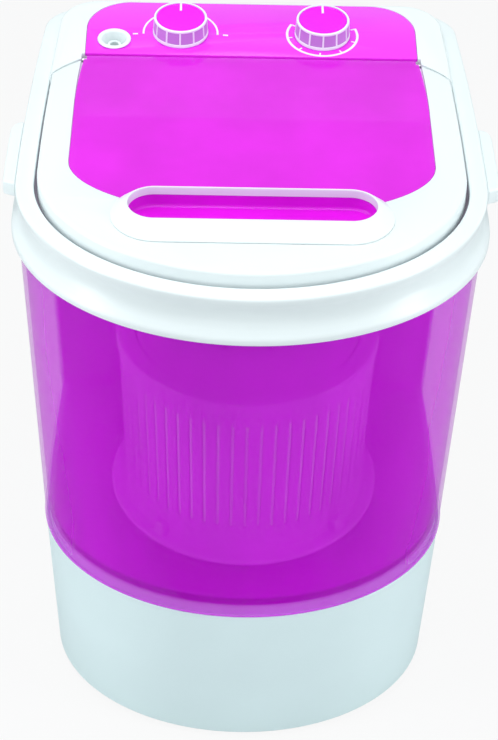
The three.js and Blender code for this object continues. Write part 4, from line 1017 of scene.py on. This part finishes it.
class BuildConsole(bpy.types.Operator):
    """Make the white console, its magenta panel and the printed scales"""

    bl_idname = "washer.console"
    bl_label = "Console"

    def shape(self, inset, low, drop, edge):
        def outline(more):
            reach = 14 + inset + more
            radius = 30 - inset - more
            end = rear_y() - reach - radius
            side = [(side_x(reach, y), y) for y in span(lid_rear() - 22, end, 10)]
            corner = arc(side_x(reach, end) - radius, end, radius, 0, pi / 2, 16)[1:]
            return side + corner + mirrored(side + corner)

        sections = [(outline(0), low)]
        sections += [
            (outline(edge * (1 - cos(a))), slope(drop + edge * (1 - sin(a)))) for a in span(0, pi / 2, 6)
        ]
        upright = stack("console_shell", sections)
        half = hinge_half() + 2.2 + inset
        start = lid_rear() - 20 + 1.2 + inset
        cuts = [
            block("space", -300, 300, -300, start, low - 5, LID_TOP + 40),
            prism("space", lid_plan(LID_INSET - 1.2 - inset), low - 5, LID_TOP + 40),
            block("space", -half, half, -200, console_front() + inset, low - 5, LID_TOP + 40),
        ]
        return join(upright, cuts)

    def holes(self):
        shaft = SPINDLE_RADIUS + GAP
        made = [tilted(rod("hole", shaft, -30, 30, 32), side * KNOB_X, KNOB_BACK) for side in (-1, 1)]
        return [*made, tilted(rod("hole", INLET_RADIUS + GAP, -30, 30), INLET_X, INLET_BACK)]

    def execute(self, context):
        foot = LEDGE_TOP + GAP
        console = self.shape(0, foot, 0, 3.2)
        hollow = self.shape(WALL, foot - 5, 5.9, 1.5)
        seat = tilted(prism("seat", fascia_plan(GAP), -2.9, 20))
        pins = rod("pins", 1.9, -135, 135, 32)
        hinge = Vector(JOINTS["lid_hinge"]["pos_m"]) / MM
        aimed(pins, (0, hinge.y, hinge.z), pi / 2, "Y")
        join(console, [hollow])
        join(console, [seat, pins, *self.holes()])
        finished(rounded(console, 0.45, 60), "shell", "cabinet", "console_housing")
        panel = tilted(prism("dial_panel", fascia_plan(0), -2.5, 0))
        join(panel, self.holes())
        finished(rounded(panel, 0.4, 60), "panel", "cabinet", "control_fascia")
        self.scales()
        return {"FINISHED"}

    def band(self, name, radius, width, start, end):
        outer = arc(0, 0, radius + width / 2, radians(start), radians(end), 60)
        inner = arc(0, 0, radius - width / 2, radians(end), radians(start), 60)
        return prism(name, outer + inner, 0.02, 0.2)

    def tick(self, radius, length_mm, width, angle):
        bar = block("tick", radius, radius + length_mm, -width / 2, width / 2, 0.02, 0.2)
        return placed(bar, Matrix.Rotation(radians(angle), 4, "Z"))

    def scales(self):
        left = self.band("selector_scale", 28.7, 1.5, -4, 58)
        marks = [self.band("arc", 28.7, 1.5, 122, 184)]
        marks += [self.tick(33, 4, 1.5, angle) for angle in (-4, 184)]
        join(left, marks, "UNION")
        right = self.band("timer_scale", 27.3, 1.9, 150, 380)
        marks = [self.tick(23.6, 3.4, 1.1, angle) for angle in (151, 189, 227, 265, 303, 341, 379)]
        join(right, marks, "UNION")
        for scale, side in ((left, -1), (right, 1)):
            finished(tilted(scale, side * KNOB_X, KNOB_BACK), "print", "cabinet")


class BuildDials(bpy.types.Operator):
    """Make the two dials: ribbed knob, coloured insert, white pointer and steel spindle"""

    bl_idname = "washer.dials"
    bl_label = "Dials"

    def ribs(self):
        foot = (18.2, KNOB_FOOT - 0.2, 0.8, 0.65)
        head = (18.2, KNOB_TOP, 0.8, 0.65)
        rib = wedge("rib", foot, 2.0, head, KNOB_HEIGHT - 1.2)
        count = sizes().rib_count
        return repeated("ribs", rib, count, "shell", turn=2 * pi / count)

    def knob(self, name):
        top = KNOB_HEIGHT
        seat = INSERT_RADIUS + 0.2
        body = fillets(
            [(0, 2), (KNOB_INSIDE, 2), (KNOB_INSIDE, 0), (KNOB_FOOT, 0, 0.4), (KNOB_FOOT - 0.1, 2.6, 0.6),
             (KNOB_CORE, 2.9), (KNOB_CORE, top - 1.9), (KNOB_TOP, top - 1.8, 0.3), (KNOB_TOP, top, 0.7),
             (seat, top, 0.2), (seat, top - 1.6), (0, top - 1.6)],
            False,
            5,
        )
        core = turned(name, body, 96, False)
        join(core, [self.ribs()], "UNION")
        return rounded(join(core, [rod("socket", SPINDLE_RADIUS + 0.3, -1, 9, 32)]), 0.25, 50)

    def side(self, name):
        top = KNOB_HEIGHT
        band = turned(name, [(19.1, 2.8), (20.9, 2.8), (20.1, top - 1.8), (19.1, top - 1.8)], 96)
        return join(band, [self.ribs()])

    def execute(self, context):
        for name, side in (("selector", -1), ("timer", 1)):
            body = name + "_dial"
            place = (side * KNOB_X, KNOB_BACK, 0.5)
            grip_piece = tilted(self.knob(name + "_grip"), *place)
            finished(grip_piece, "shell", body, name + "_knob")
            finished(tilted(self.side(name + "_side"), *place), "dial_side", body)
            r, z = INSERT_RADIUS, INSERT_LOW
            rim = [(r, z), (r, z + 0.9, 0.5), (r - 2, z + 1.1, 0.4), (r - 2.3, z + 0.8, 0.3)]
            cap = lathed(name + "_insert", [(0, z), *rim, (0, z + 1.15)])
            finished(tilted(cap, *place), "dial", body, name + "_knob_cap")
            pointer = block(name + "_pointer", -0.85, 0.85, 8.5, 18.6, 14.0, 14.75)
            finished(tilted(rounded(pointer, 0.3), *place), "print", body)
            spindle = rod(name + "_shaft", SPINDLE_RADIUS, -11.9, 8, 48)
            flat = block("flat", 2.2, 4, -4, 4, 0, 9)
            join(spindle, [flat])
            finished(tilted(spindle, side * KNOB_X, KNOB_BACK), "steel", body, name + "_spindle")
        return {"FINISHED"}


class BuildInlet(bpy.types.Operator):
    """Make the water inlet's funnel and nozzle"""

    bl_idname = "washer.inlet"
    bl_label = "Water inlet"

    def execute(self, context):
        r, depth = INLET_RADIUS, 16
        outside = [(3.2, -depth), (r - 1, -depth), (r - 1, -3), (r, -3), (r, 0.5)]
        lip = [(r + 1.8, 0.5, 0.3), (r + 1.4, 1.7, 0.7), (r - 1.6, 1.7, 1.0)]
        nozzle = [(r - 5, -depth + 3, 2.0), (5.2, -depth + 3, 1.0), (5.2, -4, 0.7), (3.2, -4, 0.6)]
        cup = turned("inlet_funnel", fillets(outside + lip + nozzle))
        finished(tilted(cup, INLET_X, INLET_BACK), "shell", "cabinet", "water_inlet_port")
        return {"FINISHED"}


BASKET_FOOT = 92.0  # radius of the wall at its foot
BASKET_SPREAD = 6.0  # how much wider the wall is at the top
BASKET_WALL = 2.5
BASKET_FLANGE = 104.4
SHAFT_HOLE = 7.9


class BuildBasket(bpy.types.Operator):
    """Make the slotted spin basket and its lid"""

    bl_idname = "washer.basket"
    bl_label = "Spin basket"

    def execute(self, context):
        low, high = box_mm("spin_basket")
        centre = (low + high) / 2
        bottom, top = low.z, high.z
        lean = BASKET_SPREAD / (top - bottom)

        def out(z):
            return BASKET_FOOT + (z - bottom) * lean

        shaft_top = box_mm("drive_shaft")[1].z
        profile = fillets(
            [
                (SHAFT_HOLE, bottom),
                (BASKET_FLANGE, bottom, 0.8),
                (BASKET_FLANGE, bottom + 3.6, 1.2),
                (out(bottom) + 1, bottom + 4.4, 1.5),
                (out(top - 16), top - 16, 1.0),
                (out(top) + 1.4, top - 13, 1.0),
                (out(top) + 1.5, top, 1.6),
                (out(top) - 12, top, 1.0),
                (out(top) - 12, top - 2.4),
                (out(top - 6) - BASKET_WALL, top - 6, 2),
                (out(bottom + 8) - BASKET_WALL, bottom + 8, 4),
                (out(bottom) - 8, bottom + 3, 3),
                (22, bottom + 3, 3),
                (14, shaft_top + 3, 3),
                (0, shaft_top + 3),
                (0, shaft_top + 0.4),
                (SHAFT_HOLE, shaft_top + 0.4),
            ],
            steps=4,
        )
        basket = turned("slotted_basket", profile, 224)
        count = sizes().slot_count
        width = sizes().slot_width / MM
        slot_low, slot_high = bottom + 28, top - 22
        slot = block("slot", 80, 110, -width / 2, width / 2, slot_low, slot_high)
        rounded(slot, width * 0.4, 60, 3)
        join(basket, [repeated("slots", slot, count, "basket", turn=2 * pi / count)])
        lug = wedge("lug", (93, 101, 7, 5), bottom + 2, (93, 97.5, 5, 3.5), bottom + 14)
        rounded(lug, 0.9, 40, 3)
        placed(lug, Matrix.Rotation(radians(-42), 4, "Z"))
        lugs = repeated("lugs", lug, 4, "basket", turn=pi / 2)
        join(basket, [lugs], "UNION")
        finished(moved(basket, centre.x, centre.y, 0), "basket", "basket", "spin_basket")
        # Pale pink strips inside the slots are painted light: they stand in for light seen through the slots.
        bar = width / 2 - 0.3

        def across(z):
            return [(out(z) - 2.2, -bar), (out(z) - 0.7, -bar), (out(z) - 0.7, bar), (out(z) - 2.2, bar)]

        strip = stack("strip", [(across(z), z) for z in (slot_low + 1, slot_high - 1)])
        painted_slot_lights = repeated("slot_linings", strip, count, "slot_light_paint", turn=2 * pi / count)
        finished(moved(painted_slot_lights, centre.x, centre.y, 0), "slot_light_paint", "basket")
        self.cover(centre)
        return {"FINISHED"}

    def cover(self, centre):
        low, high = box_mm("basket_lid")
        z = low.z
        rim = [(85, z, 0.4), (85, z + 3, 0.8), (80, z + 3, 0.8), (78.5, z + 1.8, 0.8)]
        outline = [(0, z), *rim, (0, z + 2.4)]
        plate = lathed("basket_cover", outline, 128)
        hole = moved(rod("hole", 2.5, z - 1, z + 5, 24), 34, 0, 0)
        join(plate, [repeated("holes", hole, 6, "basket", turn=pi / 3)])
        bar = rounded(block("bar", -16, 16, -2.5, 2.5, z + 1.2, high.z), 1.2, 40, 4)
        join(plate, [bar], "UNION")
        finished(moved(plate, centre.x, centre.y, 0), "basket", "basket_cap", "basket_lid")


class BuildPulsator(bpy.types.Operator):
    """Make the vaned wash pulsator under the basket"""

    bl_idname = "washer.pulsator"
    bl_label = "Pulsator"

    def execute(self, context):
        low, high = box_mm("wash_pulsator")
        centre = (low + high) / 2
        z = low.z
        under = [(SHAFT_HOLE, z + 3), (18, z + 3), (80, z), (86, z, 0.6)]
        over = [(86, z + 2, 0.8), (80, z + 3, 2), (24, z + 6, 3), (20, high.z, 1.5), (SHAFT_HOLE, high.z)]
        dish = lathed("pulsator_dish", under + over, closed=True)
        vane = wedge("vane", (20, 78, 4.5, 3), z + 2, (21, 76, 2, 1.2), high.z - 1)
        rounded(vane, 0.8, 40, 3)
        join(dish, [repeated("vanes", vane, 4, "shell", turn=pi / 2)], "UNION")
        finished(moved(dish, centre.x, centre.y, 0), "shell", "drive", "wash_pulsator")
        return {"FINISHED"}


class BuildUnderside(bpy.types.Operator):
    """Make the bottom cover, feet, cover screws, cord gland and drain outlet"""

    bl_idname = "washer.underside"
    bl_label = "Underside"

    def execute(self, context):
        low, high = box_mm("bottom_cover")
        cover = prism("bottom_plate", plan(25.2), low.z, high.z)
        slot = rounded(block("slot", -2.5, 2.5, -30, 30, low.z - 5, high.z + 5), 2.2, 60, 4)
        middle = (box_mm("motor_body")[0] + box_mm("motor_body")[1]) / 2
        vents = moved(repeated("vents", slot, 7, "base", (12, 0, 0)), -36, middle.y - 9, 0)
        places = {}
        for i in range(1, 5):
            a, b = box_mm(f"cover_screw_{i}")
            places[f"cover_screw_{i}"] = Vector(((a.x + b.x) / 2, (a.y + b.y) / 2, a.z + 2))
        holes = [moved(rod("hole", 2.4, 0, 20, 24), p.x, p.y, 0) for p in places.values()]
        join(cover, [vents, *holes])
        finished(rounded(cover, 0.5, 60), "base", "cabinet", "bottom_cover")
        for name, place in places.items():
            finished(screw(name, place, 18), "steel", "cabinet", name)
        for name in ("front_left", "front_right", "rear_left", "rear_right"):
            a, b = box_mm("foot_" + name)
            sole = [(0, 0.5), (6.5, 0.5), (7, 0, 0.3), (11, 0, 0.8), (13, 1.8, 0.8), (12, b.z, 0.4), (0, b.z)]
            foot = lathed("rubber_" + name, sole, 64)
            centre = (a + b) / 2
            finished(moved(foot, centre.x, centre.y, 0), "rubber", "cabinet", "foot_" + name)
        self.back_fittings()
        return {"FINISHED"}

    def back_fittings(self):
        low, high = box_mm("drain_outlet")
        r = 10
        flange = [(r - 3, 0), (r, 0), (r, 31, 0.4), (r + 3, 31, 0.5), (r + 3, 33, 0.5), (r - 0.6, 33, 0.5)]
        barb = [(r - 0.6, 37, 0.6), (r + 0.6, 39, 0.5), (r - 1.2, 43, 0.6), (r - 3, 43, 0.4)]
        spout = lathed("drain_spout", flange + barb, 64, True)
        centre = (low + high) / 2
        aimed(spout, (centre.x, low.y, centre.z), -pi / 2, "X")
        finished(spout, "shell", "cabinet", "drain_outlet")
        low, high = box_mm("cord_gland")
        centre = (low + high) / 2
        inside = [(3.2, -8.6), (9, -8.6), (9, -5.2), (6, -5.2), (6, 0.7)]
        outside = [(9.5, 0.7, 0.3), (9.5, 3, 0.8), (5.4, 12, 0.8), (3.2, 12, 0.4)]
        bush = lathed("gland_bush", inside + outside, 48, True)
        aimed(bush, (centre.x, high.y - 11.8, centre.z), radians(-93), "X")
        finished(bush, "rubber", "cabinet", "cord_gland", slot="dark_plastic")


class BuildInsides(bpy.types.Operator):
    """Give the pieces inside the machine their finishes, and round the edges of the boxy ones"""

    bl_idname = "washer.insides"
    bl_label = "Insides"

    def execute(self, context):
        for node, finish, edge in (
            ("filter_cover", "filter", 0.8),
            ("wall_plug_left", "dark", 0.6),
            ("wall_plug_right", "dark", 0.6),
            ("wash_timer", "dark", 0.8),
            ("function_switch", "dark", 0.8),
            ("motor_bracket", "steel", 0.4),
        ):
            refined(node, finish, "cabinet", edge)
        plain = {
            "alloy": ("bearing_housing", "large_pulley", "motor_pulley"),
            "steel": ("lower_bearing", "upper_bearing", "drive_shaft", "pulley_nut", "motor_shaft"),
            "rubber": ("shaft_seal", "drive_belt", "drain_elbow", "wiring_harness"),
            "shell": ("inlet_spout", "capacitor"),
            "motor": ("motor_body",),
        }
        for finish, nodes in plain.items():
            for node in nodes:
                mesh = frame["nodes"][node].data
                mesh.materials.clear()
                mesh.materials.append(FINISHES[finish])
        return {"FINISHED"}


FLOOR_HALF = 6.0  # metres
FLOOR_GLOW = 0.9  # how much of the floor that the camera sees is plain white
CAMERA_ELEVATION = radians(38.762)
CAMERA_YAW = radians(-1.219)
CAMERA_ROLL = radians(1.6696)
CAMERA_DISTANCE = 1.83454
CAMERA_AIM = (0.00177, 0.27906)  # across and up, in metres
CAMERA_LENS = 116.7587
SENSOR = 36


class BuildStage(bpy.types.Operator):
    """Set the pale floor, the soft studio light and the camera"""

    bl_idname = "washer.stage"
    bl_label = "Stage"

    def execute(self, context):
        self.floor()
        self.world()
        self.lamps()
        self.camera()
        context.scene.view_settings.view_transform = "Standard"
        return {"FINISHED"}

    def floor(self):
        mesh = bpy.data.meshes.new("floor")
        h = FLOOR_HALF
        mesh.from_pydata([(-h, -h, 0), (h, -h, 0), (h, h, 0), (-h, h, 0)], [], [(0, 1, 2, 3)])
        floor = new_object("floor", mesh)
        finish = Finish("pale_floor", (0.6, 0.61, 0.62), 0.6)
        glow = finish.node("ShaderNodeEmission", {}, (1, 1, 1, 1), 1.0)
        share = Field(finish, finish.node("ShaderNodeLightPath", {}).outputs["Is Camera Ray"]) * FLOOR_GLOW
        mixed = finish.node("ShaderNodeMixShader", {}, share, finish.shader.outputs[0], glow.outputs[0])
        out = next(n for n in finish.tree.nodes if n.type == "OUTPUT_MATERIAL")
        finish.tree.links.new(mixed.outputs[0], out.inputs["Surface"])
        mesh.materials.append(finish.material)

    def world(self):
        world = bpy.data.worlds.new("studio")
        world.use_nodes = True
        sky = Shading(world.node_tree)
        path = sky.node("ShaderNodeLightPath", {}).outputs
        rays = path["Is Camera Ray"], path["Is Glossy Ray"]
        seen = sky.node("ShaderNodeMath", {"operation": "MAXIMUM"}, *rays).outputs[0]
        strength = sky.node("ShaderNodeMapRange", {}, Value=seen, To_Min=0.34, To_Max=1.0).outputs[0]
        background = sky.tree.nodes["Background"].inputs
        sky.fill(background["Color"], sky.mix(seen, (0.8, 0.96, 1.0, 1.0), (1.0, 1.0, 1.0, 1.0)))
        sky.fill(background["Strength"], strength)
        bpy.context.scene.world = world

    def lamps(self):
        target = Vector((0, 0, 0.3))
        for name, place, size, power in (
            ("top_light", (-0.1, -0.1, 1.9), (1.5, 1.2), 17),
            ("left_strip", (-1.5, -0.7, 0.8), (0.4, 1.5), 12.5),
            ("right_strip", (1.5, -0.7, 0.8), (0.4, 1.5), 12.5),
            ("front_fill", (0.0, -2.2, 0.6), (1.6, 0.8), 4),
        ):
            lamp = bpy.data.lights.new(name, "AREA")
            lamp.shape = "RECTANGLE"
            lamp.size, lamp.size_y = size
            lamp.energy = power
            piece = bpy.data.objects.new(name, lamp)
            bpy.context.scene.collection.objects.link(piece)
            piece.location = place
            piece.rotation_mode = "QUATERNION"
            piece.rotation_quaternion = (target - Vector(place)).to_track_quat("-Z", "Y")

    def camera(self):
        elevation, yaw, roll = CAMERA_ELEVATION, CAMERA_YAW, CAMERA_ROLL
        back = Vector((sin(yaw) * cos(elevation), -cos(yaw) * cos(elevation), sin(elevation)))
        aim = Vector((CAMERA_AIM[0], widest_y() * MM, CAMERA_AIM[1]))
        right = (-back).cross(Vector((0, 0, 1))).normalized()
        up = right.cross(-back)
        side = cos(roll) * right + sin(roll) * up
        top = -sin(roll) * right + cos(roll) * up
        lens = bpy.data.cameras.new("camera")
        lens.sensor_width = SENSOR
        lens.lens = CAMERA_LENS
        piece = bpy.data.objects.new("camera", lens)
        bpy.context.scene.collection.objects.link(piece)
        turn = Matrix((side, top, back)).transposed()
        piece.matrix_world = Matrix.Translation(aim + back * CAMERA_DISTANCE) @ turn.to_4x4()
        bpy.context.scene.camera = piece


class WasherPanel(bpy.types.Panel):
    """Lists the sizes, colours and build steps"""

    bl_idname = "WASHER_PT_build"
    bl_label = "Washer"
    bl_space_type = "VIEW_3D"
    bl_region_type = "UI"
    bl_category = "Washer"

    def draw(self, context):
        for group in (context.scene.washer_sizes, context.scene.washer_colours):
            for name in group.bl_rna.properties.keys():
                if name not in ("name", "rna_type"):
                    self.layout.prop(group, name)
        for step in STEPS:
            self.layout.operator(step.bl_idname)


STEPS = (
    BuildStage,
    BuildBase,
    BuildTub,
    BuildRearCover,
    BuildCollar,
    BuildHandles,
    BuildLid,
    BuildConsole,
    BuildDials,
    BuildInlet,
    BuildBasket,
    BuildPulsator,
    BuildUnderside,
    BuildInsides,
)
CLASSES = (WasherSizes, WasherColours, *STEPS, WasherPanel)


def register():
    for item in CLASSES:
        bpy.utils.register_class(item)
    bpy.types.Scene.washer_sizes = bpy.props.PointerProperty(type=WasherSizes)
    bpy.types.Scene.washer_colours = bpy.props.PointerProperty(type=WasherColours)


def unregister():
    del bpy.types.Scene.washer_colours
    del bpy.types.Scene.washer_sizes
    for item in reversed(CLASSES):
        bpy.utils.unregister_class(item)


def main():
    """Registers the classes and makes every piece."""
    register()
    FINISHES.update(make_finishes())
    for step in STEPS:
        group, name = step.bl_idname.split(".")
        getattr(getattr(bpy.ops, group), name)()


if __name__ == "__main__":
    main()
